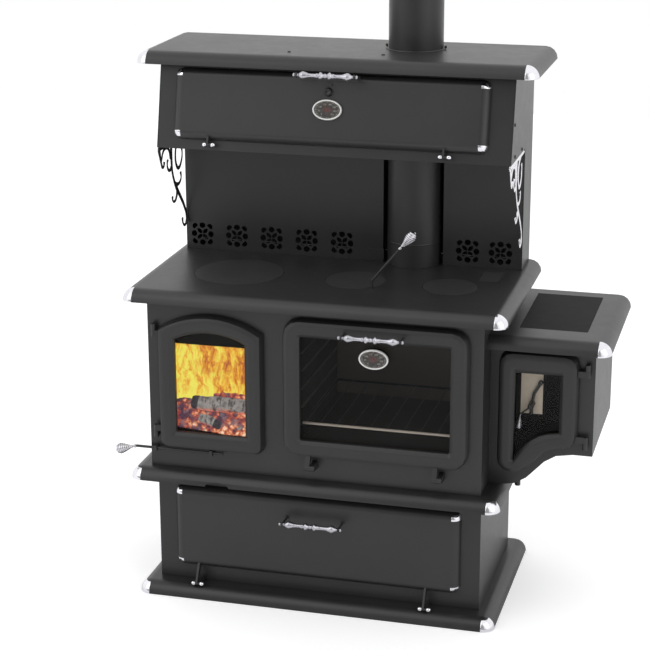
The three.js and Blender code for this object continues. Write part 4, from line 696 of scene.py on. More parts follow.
# Painted light and shade among these: the steel water tank takes the near-black paint as painted shade, its
# tap plate a pale coat of painted light, and the oven rack a painted shade.
own_finish = {
    "reservoir_lid": lid_paint, "oven_rack": rack_shaded_wire, "storage_door": door_paint, "closet_door": door_paint,
    "hob_plate_large": hob_paint, "hob_plate_middle": hob_paint, "hob_plate_right": hob_paint,
    "cleanout_cover": hob_paint, "oven_door_glass": smoked_glass, "side_door_glass": side_glass,
    "water_tank": shade_and_soot_black, "tap_plate": lit_tap_plate, "tap_body": knob_black, "tap_lever": knob_black,
}
wide_ease = {"body_front": 0.0015, "cooktop": 0.001}
carried = {}
for node in sorted(set(frame["nodes"]) - replaced_by_hand):
    flat_glass = slot_of_node[node] == "door_glass"
    width = 0 if flat_glass else wide_ease.get(node, NARROW_EASE)
    carried[node] = eased(node, width, material=own_finish.get(node))
print("eased", len(carried))

# %% [markdown]
# ## Two finishes on one piece
#
# The front wire of the oven rack takes a painted highlight, the others a painted shade. The oven's back
# wall takes painted light, and the tops of its ledges take painted highlights. The side cabinet is painted
# outside and takes painted shade inside. Each takes a second material on the faces that a rule of place
# picks out.

# %% Second finishes


def repaint(piece, material, rule):
    """Give the faces that the rule picks a material of their own."""
    piece.data.materials.append(material)
    extra = len(piece.data.materials) - 1
    for face in piece.data.polygons:
        if rule(face.center, face.normal):
            face.material_index = extra
    return piece


rack_front, oven_rear, lowest_ledge = 0.034, 0.38, 0.515
cabinet_low, cabinet_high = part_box("side_cabinet")
cabinet_middle = Vector((0.61, 0.29, 0.64))
sheet = 0.0036
skin = 0.6 * sheet
cabinet_inner = cabinet_low[0] + sheet - skin


def inside_cabinet(c, n):
    """Whether a face looks towards the middle of the cabinet, from one of its inner sides."""
    clear_of_skin = cabinet_low[1] + skin < c.y < cabinet_high[1] - skin
    faces_in = n.dot(c - cabinet_middle) < 0
    return faces_in and c.x > cabinet_inner and (clear_of_skin or abs(n.y) > 0.5)


# Painted highlight on the rack's front wire.
repaint(carried["oven_rack"], rack_lit_wire, lambda c, n: c.y < rack_front)
# Painted light on the back wall, and painted highlights on the ledge tops.
repaint(carried["oven_box"], lit_oven_back, lambda c, n: n.y < -0.9 and c.y > oven_rear)
repaint(carried["oven_box"], ledge_highlight, lambda c, n: n.z > 0.9 and c.z > lowest_ledge and c.x < 0)
# Painted shade inside the side cabinet.
repaint(carried["side_cabinet"], shade_and_soot_black, inside_cabinet)
print("second finishes on", [carried[node].name for node in ("oven_rack", "oven_box", "side_cabinet")])

# %% [markdown]
# ## A lathe
#
# Handles, knobs, hinge balls and grips are all turned work. A half outline of distances and radii is
# drawn along an axis, a smooth line is run through its points, and the spin operator sweeps it round.
# Spinning leaves a double seam, so doubles are merged and the normals set outward afterwards.

# %% Turning


def smooth_line(points, steps=4):
    """Points on a smooth line through the given ones."""
    line = []
    for k in range(len(points) - 1):
        a, b, c, d = (Vector(points[min(max(k + i, 0), len(points) - 1)]) for i in (-1, 0, 1, 2))
        for step in range(steps):
            t = step / steps
            line.append(0.5 * (2 * b + (c - a) * t + (2 * a - 5 * b + 4 * c - d) * t**2
                               + (3 * b - a - 3 * c + d) * t**3))
    return line + [Vector(points[-1])]


def turned(outline, steps=28, detail=4):
    """Turn an outline of (distance, radius) in millimetres about x."""
    line = [Vector((x, max(r, 0), 0)) / 1000 for x, r in smooth_line(outline, detail)]
    mesh = bpy.data.meshes.new("turned")
    mesh.from_pydata(line, [(i, i + 1) for i in range(len(line) - 1)], [])
    piece = placed("turned", mesh)
    edit(piece)
    bpy.ops.mesh.spin(steps=steps, angle=math.tau, center=(0, 0, 0), axis=(1, 0, 0))
    bpy.ops.mesh.select_all(action="SELECT")
    bpy.ops.mesh.remove_doubles(threshold=0.00002)
    bpy.ops.mesh.normals_make_consistent(inside=False)
    close()
    return smooth(piece, 50)


def set_down(piece, place):
    """Put a piece that was made at the origin in its place."""
    piece.matrix_world = place
    return settle(piece)


def door_frame(x, y, z, lean=0.0):
    """The place of a door: its own x runs across, y up its face and z out of it."""
    return Matrix.Translation((x, y, z)) @ Matrix.Rotation(math.radians(90 - lean), 4, "X")


def aimed(start, direction, size=1.0):
    """Turns the x axis of a turned piece towards a direction, from a start in millimetres."""
    turn = Vector(direction).to_track_quat("X", "Z").to_matrix().to_4x4()
    return Matrix.Translation(Vector(start) / 1000) @ turn @ Matrix.Scale(size, 4)


closet_lean = 12.9
# Each place is the middle of the door's lower edge.
doors = {
    "storage_door": door_frame(0, 0.037, 0.080),
    "oven_door": door_frame(0.1775, 0, 0.462),
    "closet_door": door_frame(-0.007, 0.19603, 1.2843, closet_lean),
}
print("doors", list(doors))

# %% [markdown]
# ## Turned nickel handles
#
# The three drop doors have the same handle: two beads in the middle, a waist, a fat bulb on each side, a
# thin neck where the post holds it, and a ball at the end. Only half of the outline is written down; its
# mirror makes the other half.

# %% Handles
handle_half = [
    (0, 7.2), (1.2, 6.6), (4.5, 5.2), (8.5, 8.4), (12.7, 10.6), (16.8, 8.2), (19.5, 6.0), (23.5, 7.0),
    (27, 5.4), (36, 5.2), (45, 5.6), (49, 7.0), (55, 9.2), (61.5, 10.9), (68, 8.6), (74, 4.6),
    (76, 4.0), (83.6, 4.0), (85.2, 5.6), (87.4, 5.4), (89.8, 3.6), (91, 0),
]
handle_outline = [(-x, r) for x, r in reversed(handle_half[1:])] + handle_half
handle_places = {"storage_door": (0, 182, 69.3), "oven_door": (0, 367, 65), "closet_door": (0, 186, 69.3)}
for door, place in handle_places.items():
    handle = turned(handle_outline, 36, 3)
    set_down(handle, doors[door] @ Matrix.Translation(Vector(place) / 1000))
    dress(handle, door + "_turned_handle", handle_nickel_shaded, door, "nickel_plate", door + "_handle")
print("handle outline points", len(handle_outline))

# %% [markdown]
# The knob of the closet's catch is turned in the same way. It is made lying along x, so it is turned
# upright before the door's own place is applied.

# %% Closet knob
knob_outline = [
    (24.1, 0), (24.1, 11.2), (26, 11.6), (28.5, 9.6), (32, 10.4), (34.8, 9.6), (36, 7.2), (35.2, 4.2),
    (34.6, 2.2), (34.6, 0),
]
knob_height = 0.146
standing = Matrix.Rotation(math.radians(-90), 4, "Y")
knob = turned(knob_outline, 36, 3)
set_down(knob, doors["closet_door"] @ Matrix.Translation((0, knob_height, 0)) @ standing)
dress(knob, "closet_knob", knob_black, "closet_door", "cast_black")
print("knob", knob.name)

# %% [markdown]
# ## Teardrop grips
#
# The damper, the air control and the tap end in the same grip, a ball ferrule and a drop. On the real one
# a wire is wound round the drop, so that it stays cool to the touch. The core is turned, and the wire is
# a curve that climbs round the same outline, given its thickness and made a mesh.

# %% Thick curves


def thick_curve(name, thickness, roundness, steps=12):
    """An empty curve with a round section and closed ends."""
    drawn = bpy.data.curves.new(name, "CURVE")
    drawn.dimensions = "3D"
    drawn.bevel_depth = thickness
    drawn.bevel_resolution = roundness
    drawn.resolution_u = steps
    drawn.use_fill_caps = True
    return drawn


def run_through(drawn, knots):
    """Add one smooth line through (place, radius) knots."""
    spline = drawn.splines.new("BEZIER")
    spline.bezier_points.add(len(knots) - 1)
    for knot, (place, radius) in zip(spline.bezier_points, knots):
        knot.co = place
        knot.handle_left_type = knot.handle_right_type = "AUTO"
        knot.radius = radius


def as_mesh(drawn):
    """A curve's surface as a piece of its own."""
    only(placed(drawn.name, drawn))
    bpy.ops.object.convert(target="MESH")
    return bpy.context.object


# %% Grips
FERRULE_END = 16
core_share, wire_share = 0.86, 0.93
wire_low, wire_high, wire_turns, wire_thick = 15.5, 65.5, 9, 1.25
drop = [
    (0, 0), (0.2, 2.4), (1.5, 4.2), (5, 5.2), (9, 4.1), (11, 3.4), (13, 4.0), (15, 4.4), (21, 5.6),
    (28, 8.3), (36, 11.6), (44, 14.4), (50, 15.9), (53.6, 16.0), (58, 14.8), (62.3, 11.8), (65.6, 6.6),
    (67, 0),
]
grips = (
    ("damper_handle", "damper", (204, 147, 1021), (0.635, 0, 0.772), 1.0),
    ("air_handle", "air_control", (-510, -12, 446), (-1, 0, -0.26), 0.94),
    ("tap_handle", "tap_handle", (552, 121.4, 590), (-0.12, -0.1, -1), 0.6),
)


def wound_wire(outline, low, high, turns, thick):
    """A wire that winds up an outline of (distance, radius), from one distance to another."""
    line = smooth_line(outline, 6)
    steps = turns * 24
    drawn = thick_curve("wire", thick / 1000, 2)
    spline = drawn.splines.new("POLY")
    spline.points.add(steps)
    for k, knot in enumerate(spline.points):
        along = low + (high - low) * k / steps
        before = max((p for p in line if p[0] <= along), key=lambda p: p[0])
        after = min((p for p in line if p[0] > along), key=lambda p: p[0])
        share = (along - before[0]) / (after[0] - before[0])
        radius = before[1] + (after[1] - before[1]) * share
        turn = math.tau * turns * k / steps
        knot.co = (along / 1000, radius * math.cos(turn) / 1000, radius * math.sin(turn) / 1000, 1)
    return smooth(as_mesh(drawn), 60)


core = [(x, r if x < FERRULE_END else core_share * r) for x, r in drop]
wire_path = [(x, wire_share * r) for x, r in drop]
for node, body, start, direction, size in grips:
    place = aimed(start, direction, size)
    grip = set_down(turned(core, 36, 3), place)
    dress(grip, node + "_teardrop", grip_core, body, "nickel_plate", node)
    wire = set_down(wound_wire(wire_path, wire_low, wire_high, wire_turns, wire_thick), place)
    dress(wire, node + "_winding", nickel_plate, body, "nickel_plate")
print("grips", len(grips))

# %% [markdown]
# ## Nickel corner caps
#
# Where two rolled edges meet, the sheet leaves an open corner, and a pressed nickel cap closes it. It is
# an eighth of a ball: a sphere is cut three times with bisect, its wall is given by Solidify, and a
# narrow bevel eases the rim. Where the cap sits against the cabinet above it, its tip is cut off too.

# %% Corner caps


def ball_eighth(radius, wall, side, planes):
    """The part of a ball on one side of x = 0 and of each plane, with a wall."""
    piece = begin(bpy.ops.mesh.primitive_uv_sphere_add, segments=64, ring_count=32, radius=radius)
    for place, normal in [((0, 0, 0), (side, 0, 0)), *planes]:
        bpy.ops.mesh.select_all(action="SELECT")
        bpy.ops.mesh.bisect(plane_co=place, plane_no=normal, clear_inner=True)
    close()
    modify(piece, "SOLIDIFY", thickness=wall, offset=-1)
    modify(piece, "BEVEL", width=0.0004, segments=2, limit_method="ANGLE", angle_limit=math.radians(50))
    return smooth(piece, 40)


front_up = [((0, 0, 0), (0, -1, 0)), ((0, 0, 0), (0, 0, 1))]
without_tip = front_up + [((0, 0, 0.0305), (0, 0, -1))]
# Name, x, y and z of the middle, radius and wall in millimetres, planes, and the solids it stands for.
caps = [
    ("plinth", 481, 6, 0, 35.2, 2.0, without_tip, None),
    ("mid_shelf", 490, -10, 356, 35.2, 2.0, without_tip, None),
    ("cooktop", 500.3, -7.3, 875, 34.5, 3.0, front_up, "cooktop_cap"),
    ("top_shelf", 525.3, 228.7, 1489, 34.5, 3.0, front_up, "top_shelf_cap"),
]
for name, x, y, z, radius, wall, planes, node in caps:
    for side, end in ((-1, "left"), (1, "right")):
        cap = ball_eighth(radius / 1000, wall / 1000, side, planes)
        set_down(cap, Matrix.Translation((side * x / 1000, y / 1000, z / 1000)))
        solids = [f"{node}_{end}"] if node else []
        dress(cap, f"{name}_corner_{end}", nickel_plate, "stove", "nickel_plate", *solids)
side_top_place = (0.7633, 0.0727, 0.795)
cap = set_down(ball_eighth(0.0345, 0.003, 1, front_up), Matrix.Translation(side_top_place))
dress(cap, "side_top_corner", nickel_plate, "stove", "nickel_plate", "side_top_cap")
print("caps", 2 * len(caps) + 1)

# %% [markdown]
# ## Corners and hinge balls of the pan doors
#
# The storage door and the closet door are pans with rolled edges. Their corners are closed by small
# nickel pieces too, seen as crescents, and each drop hinge has a nickel ball at both sides of its strap.

# %% Door corners
pan_sizes = {"storage_door": (823, 246), "closet_door": (880, 198)}
pan_roll, pan_back = 24.0, 0.3
corner_radius, corner_wall, corner_reach = 0.0248, 0.0012, 0.0165
for door, (width, height) in pan_sizes.items():
    for side in (-1, 1):
        for up in (-1, 1):
            tip = ((0, up * corner_reach, 0), (0, -up, 0))
            planes = [((0, 0, 0), (0, up, 0)), ((0, 0, 0), (0, 0, 1)), tip]
            corner = ball_eighth(corner_radius, corner_wall, side, planes)
            centre = (side * (width / 2 - pan_roll), (height - pan_roll) if up > 0 else pan_roll, pan_back)
            set_down(corner, doors[door] @ Matrix.Translation(Vector(centre) / 1000))
            ends = ("left" if side < 0 else "right", "upper" if up > 0 else "lower")
            dress(corner, "_".join((door, "corner", *ends)), nickel_plate, door, "nickel_plate")
print("door corners", 4 * len(pan_sizes))

# %% Hinge balls
hinge_apart = 330
ball_outline = [
    (6.35, 0), (6.4, 3.2), (7.0, 5.0), (9.0, 6.1), (12.4, 6.4), (15.8, 5.5), (18.2, 3.1), (18.9, 0),
]
drop_hinges = {"storage_door": (-10, -39, 47), "closet_door": (-3, -12, 20)}
for door, (middle_x, drop_y, stand) in drop_hinges.items():
    for hinge, label in ((-hinge_apart, "left"), (hinge_apart, "right")):
        for side, end in ((-1, "outer"), (1, "inner")):
            ball = turned([(side * x, r) for x, r in ball_outline], 24, 3)
            place = Vector((middle_x + hinge, drop_y, stand)) / 1000
            set_down(ball, doors[door] @ Matrix.Translation(place))
            dress(ball, f"{door}_hinge_ball_{label}_{end}", nickel_plate, door, "nickel_plate")
print("hinge balls", 4 * len(drop_hinges))

# %% [markdown]
# ## The thermometers
#
# Each is an oval nickel bezel round a dark dial, with two rings of ticks, numbers, and a red pointer. The
# bezel is made as by hand: one oval loop is extruded and resized again and again, until it meets itself.
# The dial's rings are worked out in the material, from the place on the dial.

# %% Bezels
half_width, half_height = 41.0, 28.0
bezel_rise = [(0, 5.4), (0.3, 7.2), (0.9, 8.4), (1.8, 8.9), (3.4, 8.9), (4.2, 8.3), (4.7, 6.4)]


def oval_ring(bezel_steps):
    """A ring from steps of (inset, height), which come back to where they start."""
    first, foot = bezel_steps[0]
    piece = begin(bpy.ops.mesh.primitive_circle_add, vertices=72, radius=1)
    stretch((half_width - first) / 1000, (half_height - first) / 1000)
    bpy.ops.transform.translate(value=(0, 0, foot / 1000))
    for (inset, height), (next_inset, next_height) in zip(bezel_steps, bezel_steps[1:]):
        rise = (0, 0, (next_height - height) / 1000)
        bpy.ops.mesh.extrude_edges_move(TRANSFORM_OT_translate={"value": rise})
        wide = (half_width - next_inset) / (half_width - inset)
        high = (half_height - next_inset) / (half_height - inset)
        stretch(wide, high)
    bpy.ops.mesh.select_all(action="SELECT")
    bpy.ops.mesh.remove_doubles(threshold=0.00002)
    bpy.ops.mesh.normals_make_consistent(inside=False)
    close()
    return smooth(piece, 40)


def dial_paint(name, place):
    """The printed face: two rings of ticks, a thin line round them and a warm red middle, on dark enamel."""
    face = Finish(name, IOR=1.5, Roughness=0.25)
    at = face.add("TexCoord", output="Object")
    flat = face.add("Mapping", {"vector_type": "TEXTURE"}, {
        "Vector": at, "Location": place.to_translation(), "Rotation": place.to_euler(),
        "Scale": (half_width / 1000, half_height / 1000, 0.04)})
    across, up = face.axis("X", flat), face.axis("Y", flat)
    out = (across * across + up * up) ** 0.5
    turn = face.add("Math", {"operation": "ARCTAN2"}, {0: up, 1: across}) / math.tau

    def ring(low, high):
        """1 between two distances from the middle, and 0 elsewhere."""
        return out.between(low, low + 0.012) * (1 - out.between(high - 0.012, high))

    def ticks(count, share):
        """1 on so many rays from the middle, each as wide as a share of their spacing."""
        phase = face.add("Math", {"operation": "FRACT"}, {0: turn * count + 100.5})
        away = face.add("Math", {"operation": "ABSOLUTE"}, {0: phase - 0.5})
        return 1 - away.between(share / 2, share / 2 + 0.04)

    minor = ring(0.74, 0.80) * ticks(60, 0.24)
    major = ring(0.70, 0.82) * ticks(12, 0.08)
    line = ring(0.815, 0.84)
    marks = minor.larger(major).larger(line)
    cloud = face.noise(90, 4).between(0.35, 0.65)
    ground = face.blend(cloud, colour(46, 44, 42), colour(66, 62, 58))
    warm = (1 - out.between(0.14, 0.36)) * 0.6
    ground = face.blend(warm, ground, colour(98, 56, 50))
    face.set(Base_Color=face.blend(marks * 0.7, ground, colour(168, 164, 156)), Roughness=0.22 + cloud * 0.1)
    return face.bump(marks, 0.2, 0.0002).material


# %% [markdown]
# The dial itself is an inset oval plate. Its numbers are text, made into a mesh and joined. The pointer
# is a cube drawn out to a blade, with a turned hub. Each thermometer is then put together at the place
# where it stands on its door.

# %% Dials, numbers and pointers
dial_inset = 4.2


def oval_dial():
    """A plate with a rounded rim that lies in the bezel."""
    piece = begin(bpy.ops.mesh.primitive_circle_add, vertices=72, radius=1, fill_type="NGON")
    stretch((half_width - dial_inset) / 1000, (half_height - dial_inset) / 1000)
    bpy.ops.mesh.inset(thickness=0.001)
    bpy.ops.mesh.extrude_region_move(TRANSFORM_OT_translate={"value": (0, 0, 0.0004)})
    close()
    modify(piece, "SOLIDIFY", thickness=0.003, offset=-1)
    return smooth(piece, 30)


def numbers():
    """Plain numbers round the dial, as one mesh."""
    made = []
    words = [str(50 * k) for k in range(8)]
    first_turn, sweep = 230, 280
    text_size, text_depth = 0.0062, 0.00012
    ring_across, ring_up = 0.56 * half_width / 1000, 0.54 * half_height / 1000
    for k, word in enumerate(words):
        turn = math.radians(first_turn - k * sweep / (len(words) - 1))
        bpy.ops.object.text_add()
        text = bpy.context.object
        text.data.body = word
        text.data.size = text_size
        text.data.extrude = text_depth
        text.data.align_x, text.data.align_y = "CENTER", "CENTER"
        text.location.x = ring_across * math.cos(turn)
        text.location.y = ring_up * math.sin(turn)
        bpy.ops.object.convert(target="MESH")
        made.append(bpy.context.object)
    bpy.ops.object.select_all(action="DESELECT")
    for text in made:
        text.select_set(True)
    bpy.context.view_layer.objects.active = made[0]
    bpy.ops.object.join()
    return settle(bpy.context.object)


def pointer():
    """A blade that tapers to its tip, with a short tail, and a turned hub."""
    blade_long, blade_wide, blade_thick = 0.026, 0.0032, 0.0005
    tip, middle_x, rise, pointing = 0.02, 0.007, 0.0008, 118
    piece = begin(bpy.ops.mesh.primitive_cube_add, size=1)
    stretch(blade_long, blade_wide, blade_thick)
    bpy.ops.transform.translate(value=(middle_x, 0, rise))
    mesh = bmesh.from_edit_mesh(piece.data)
    for vertex in mesh.verts:
        vertex.select = vertex.co.x > middle_x
    mesh.select_flush_mode()
    stretch(1, 0.15, 1, about=(tip, 0, rise))
    close()
    hub = turned([(0.2, 0), (0.2, 2.6), (1.2, 2.6), (1.9, 1.8), (2.1, 0)], 24, 2)
    set_down(hub, standing)
    bpy.ops.object.select_all(action="DESELECT")
    piece.select_set(True)
    hub.select_set(True)
    bpy.context.view_layer.objects.active = piece
    bpy.ops.object.join()
    piece.rotation_euler = (0, 0, math.radians(pointing))
    return smooth(settle(piece), 30)


# Name, height up the door, height of the base over it, and how deep the housing reaches, in millimetres.
thermometers = (("oven", 302, 25.0, -16.0), ("closet", 98, 24.6, 0.0))
dial_rise, numbers_rise, pointer_rise = 0.0058, 0.0005, 0.0006
for name, up, base, foot in thermometers:
    door = name + "_door"
    place = doors[door] @ Matrix.Translation((0, up / 1000, base / 1000))
    bezel = set_down(oval_ring([(0, 2.0), *bezel_rise, (4.7, 2.0), (0, 2.0)]), place)
    # The nickel bezel takes the near-white coat, a painted reflection.
    dress(bezel, name + "_thermometer_bezel", rim_sheen_white, door, "nickel_plate", name + "_thermometer")
    housing = set_down(oval_ring([(2.4, foot), (2.4, 3.0), (9.0, 3.0), (9.0, foot), (2.4, foot)]), place)
    dress(housing, name + "_thermometer_housing", knob_black, door, "nickel_plate")
    face = place @ Matrix.Translation((0, 0, dial_rise))
    dial = set_down(oval_dial(), face)
    paint = dial_paint(name + "_dial_paint", face)
    dress(dial, name + "_thermometer_dial", paint, door, "dial_face", name + "_dial")
    printed = set_down(numbers(), face @ Matrix.Translation((0, 0, numbers_rise)))
    dress(printed, name + "_dial_numbers", print_ink, door, "dial_face")
    needle = set_down(pointer(), face @ Matrix.Translation((0, 0, pointer_rise)))
    dress(needle, name + "_dial_pointer", pointer_red, door, "dial_face")
print("thermometers", len(thermometers))

# %% [markdown]
# ## Scroll brackets
#
# The closet rests on two cast brackets of leafy scrolls. Each scroll is a curve with its own thickness at
# every point, so the leaves swell and taper as they do in the casting. The curves become one mesh, are
# squeezed flat across the stove, and a voxel remesh melts them together, as if poured.

# %% Brackets
closet_front, closet_floor = 190.0, 1257.4
bracket_x, bracket_rear, bracket_top = 0.4935, 0.4206, 1.2577
swell, flatness, grain_size = 1.16, 0.40, 0.0011
# Each scroll is its (along, down) places from the closet's front edge, and its thickness at each of them.
scrolls = (
    (((2, -6), (60, -6), (115, -6), (170, -6), (229, -6)), (12, 12, 12, 12, 12)),
    (((6, -8), (14, -30), (22, -50), (30, -62), (42, -62), (46, -50)), (15, 11, 9, 10, 8, 11)),
    (((24, -44), (40, -20), (66, -14), (88, -26), (98, -52)), (7, 9, 11, 9, 9)),
    (((106, -8), (106, -50), (110, -90), (122, -118), (142, -146), (176, -182), (204, -214), (222, -246),
      (220, -264), (206, -272), (190, -262), (186, -246)), (14, 12, 10, 10, 13, 12, 11, 10, 10, 9, 7, 11)),
    (((106, -76), (92, -84), (76, -78), (70, -62), (76, -50)), (11, 10, 9, 7, 11)),
    (((176, -8), (152, -22), (140, -50), (146, -80), (164, -93), (186, -82), (198, -56), (190, -32)),
     (10, 9, 9, 10, 11, 9, 7, 11)),
    (((132, -132), (150, -138), (172, -136), (184, -124), (180, -108)), (12, 11, 9, 7, 11)),
    (((148, -152), (142, -170), (126, -182), (108, -176), (106, -164)), (12, 10, 9, 7, 11)),
)


def scroll_casting():
    """The bracket at x = 0, from thick curves that are squeezed and melted together."""
    drawn = thick_curve("scrolls", 0.0005, 3, steps=8)
    for points, widths in scrolls:
        run_through(drawn, [
            ((0, (closet_front + along) / 1000, (closet_floor + down) / 1000), width * swell)
            for (along, down), width in zip(points, widths)
        ])
    piece = as_mesh(drawn)
    edit(piece)
    stretch(flatness, 1)
    close()
    modify(piece, "REMESH", mode="VOXEL", voxel_size=grain_size, adaptivity=0.0)
    modify(piece, "SMOOTH", factor=0.5, iterations=3)
    modify(piece, "DECIMATE", ratio=0.35)
    edit(piece)
    for place, normal in (((0, bracket_rear, 1), (0, 1, 0)), ((0, 0, bracket_top), (0, 0, 1))):
        bpy.ops.mesh.select_all(action="SELECT")
        bpy.ops.mesh.bisect(plane_co=place, plane_no=normal, clear_outer=True, use_fill=True)
    close()
    return smooth(piece, 60)


casting = scroll_casting()
for side, end, finish in ((-1, "left", cast_black), (1, "right", nickel_plate)):
    node = f"scroll_bracket_{end}"
    bracket = placed("bracket", casting.data.copy())
    set_down(bracket, Matrix.Translation((side * bracket_x, 0, 0)))
    dress(bracket, f"scroll_casting_{end}", finish, "stove", slot_of_node[node], node)
print("bracket faces", len(casting.data.polygons))
bpy.data.objects.remove(casting)

# %% [markdown]
# ## Round heads
#
# Small screw heads hold the top shelf and the sides of the closet. All are turned from one outline. A slot
# would be under a pixel wide, so the heads stay plain domes, as rivets are.

# %% Screw heads
head_outline = [(0, 5.2), (0.6, 5.2), (1.9, 4.3), (2.9, 2.4), (3.2, 0)]
shelf_top, closet_side = 1523, 497
heads = [((x, y, shelf_top), (0, 0, 1)) for x, y in ((-139, 283), (122, 296))]
for side in (1, -1):
    heads += [((side * closet_side, y, z), (side, 0, 0)) for y, z in ((234, 1361), (364, 1269), (249, 1272))]
for k, (spot, out) in enumerate(heads):
    head = set_down(turned(head_outline, 20, 3), aimed(spot, out))
    dress(head, f"screw_head_{k + 1}", cast_black, "stove", "cast_black")
print("screw heads", len(heads))

# %% [markdown]
# ## The fire
#
# Behind the glass a bed of coals carries three logs, two of them with burnt ends, and flames stand behind
# them. The bed is folded into a slope, the logs have bark pushed in, and the flames are a wavy curtain
# whose pattern is long upwards. All of them glow, so their colours go to the emission socket, at a
# strength of one, where a colour shows as it is written.

# %% Glowing finishes


def glowing(name):
    """A dark finish that shows only its own glow."""
    return Finish(name, Base_Color=(0.02, 0.02, 0.02, 1), Roughness=0.9, Emission_Strength=1.0)


def flame_finish():
    """Tongues of orange and yellow, hotter below and to the left, with some smoke at the upper right."""
    flame = glowing("flame_glow")
    warp = flame.noise(14, 3, 0.6)
    at = flame.place(scale=(1, 1, 0.30), rotation=(0, math.radians(14), 0))
    push = flame.add("CombineXYZ", {}, {0: warp * 0.05, 1: warp * 0.02, 2: warp * 0.03})
    bent = flame.add("VectorMath", {"operation": "ADD"}, {0: at, 1: push})
    tongues = flame.noise(30, 6, 0.65, bent)
    fine = flame.noise(120, 4, 0.65, bent)
    across, height = flame.axis("X"), flame.axis("Z")
    low = 1 - height.between(0.56, 0.72)
    side = 1 - across.between(-0.40, -0.20)
    heat = tongues * 0.70 + fine * 0.30 + low * 0.13 + side * 0.08 - 0.05
    body = flame.blend(heat.between(0.44, 0.53), colour(204, 112, 40), colour(240, 176, 58))
    body = flame.blend(heat.between(0.52, 0.62), body, colour(244, 232, 96))
    body = flame.blend((1 - heat.between(0.37, 0.44)) * 0.85, body, colour(150, 74, 56))
    smoke = across.between(-0.22, -0.19) * height.between(0.652, 0.680) * (1 - height.between(0.715, 0.728))
    body = flame.blend(smoke * tongues.between(0.35, 0.55) * 0.9, body, colour(176, 118, 96))
    flame.set(Emission_Color=body)
    return flame.material


def coal_finish():
    """Dark coals with red and pale hearts, and patches of ash."""
    coal = glowing("coal_glow")
    settings = {"Vector": coal.place(), "Scale": 60.0, "Randomness": 1.0}
    lumps = coal.add("TexVoronoi", {"feature": "F1"}, settings)
    cloud = coal.noise(34, 5, 0.7)
    fine = coal.noise(170, 4, 0.7)
    heat = cloud * 0.55 + fine * 0.3 + (1 - lumps) * 0.22
    glow = coal.blend(heat.between(0.46, 0.56), colour(70, 46, 66), colour(164, 66, 54))
    glow = coal.blend(heat.between(0.54, 0.61), glow, colour(234, 140, 84))
    glow = coal.blend(heat.between(0.59, 0.67), glow, colour(250, 222, 190))
    ash = coal.noise(52, 3, 0.6, coal.place(location=(0.3, 0.1, 0.2))).between(0.56, 0.62)
    glow = coal.blend(ash * 0.7, glow, colour(120, 104, 112))
    coal.set(Emission_Color=glow)
    return coal.bump(heat, 0.6, 0.003).material


def log_finish():
    """Ash grey bark with dark cracks, red on its under side."""
    log = glowing("log_glow")
    bark = log.noise(60, 5, 0.65, log.place(scale=(1.6, 1, 1)))
    rings = log.noise(46, 3, 0.5, log.place(scale=(2.6, 0.4, 0.4)))
    crack = 1 - (bark * 0.5 + rings * 0.5).between(0.43, 0.49)
    ash = log.blend(bark.between(0.35, 0.65), colour(104, 100, 98), colour(158, 152, 146))
    skin = log.blend(crack * 0.8, ash, colour(44, 38, 42))
    under = log.axis("Z", log.add("NewGeometry", output="Normal"))
    hot = (1 - under.between(-0.75, -0.25)) * bark.between(0.35, 0.55)
    log.set(Emission_Color=log.blend(hot, skin, colour(232, 104, 64)))
    return log.bump(bark, 0.8, 0.003).material


def char_finish():
    """The burnt black ends of the logs."""
    char = glowing("char_glow")
    grain = char.noise(90, 4)
    char.set(Emission_Color=char.blend(grain, colour(26, 24, 30), colour(62, 56, 62)))
    return char.bump(grain, 0.8, 0.002).material


flame_glow, coal_glow, log_glow, char_glow = flame_finish(), coal_finish(), log_finish(), char_finish()
print("glowing", [m.name for m in (flame_glow, coal_glow, log_glow, char_glow)])

# %% [markdown]
# The curtain and the bed both start as a flat grid. A rule of place bends the grid into its form, cloudy
# noise pushes it about, and Solidify gives it a thickness.

# %% Flames and coals


def noisy(name, size, depth=3):
    """Clouds of one size, for pushing a surface about."""
    texture = bpy.data.textures.new(name, "CLOUDS")
    texture.noise_scale = size
    texture.noise_depth = depth
    return texture


def spread(width, height, across, up):
    """A grid in the x-z plane, from x = 0 and z = 0."""
    piece = begin(bpy.ops.mesh.primitive_grid_add, x_subdivisions=across, y_subdivisions=up, size=1)
    stretch(width, height)
    bpy.ops.transform.translate(value=(width / 2, height / 2, 0))
    close()
    piece.rotation_euler = (math.radians(90), 0, 0)
    return settle(piece)


def fold_back(piece, fold):
    """Move every point of a sheet by a rule of its own place."""
    edit(piece)
    mesh = bmesh.from_edit_mesh(piece.data)
    for vertex in mesh.verts:
        vertex.co = fold(vertex.co)
    bmesh.update_edit_mesh(piece.data)
    close()
    return piece


fire_left, fire_wide = -0.4192, 0.2660
curtain_high, curtain_front, curtain_foot = 0.245, 0.0735, 0.510
bed_deep, bed_front, bed_foot = 0.092, 0.0095, 0.4875


def curtain_place(p):
    """The curtain bows back towards the right, with small waves."""
    bow = 0.10 * (p.x / fire_wide) ** 2
    wave = 0.003 * math.sin(p.x * 130 + p.z * 22)
    return Vector((fire_left + p.x, curtain_front + bow + wave, curtain_foot + p.z))


def bed_place(p):
    """The bed climbs to the back and to the left, with a slow swell across it."""
    depth = bed_front + 0.062 * (max(p.z, 0) / bed_deep) ** 1.4
    height = bed_foot + 0.055 * min(1, p.z / 0.05) + 0.022 * (1 - p.x / fire_wide)
    hump = 0.010 * math.sin(p.x * 40) * p.z / bed_deep
    return Vector((fire_left + p.x, depth, height)) + Vector((0, 0, hump))


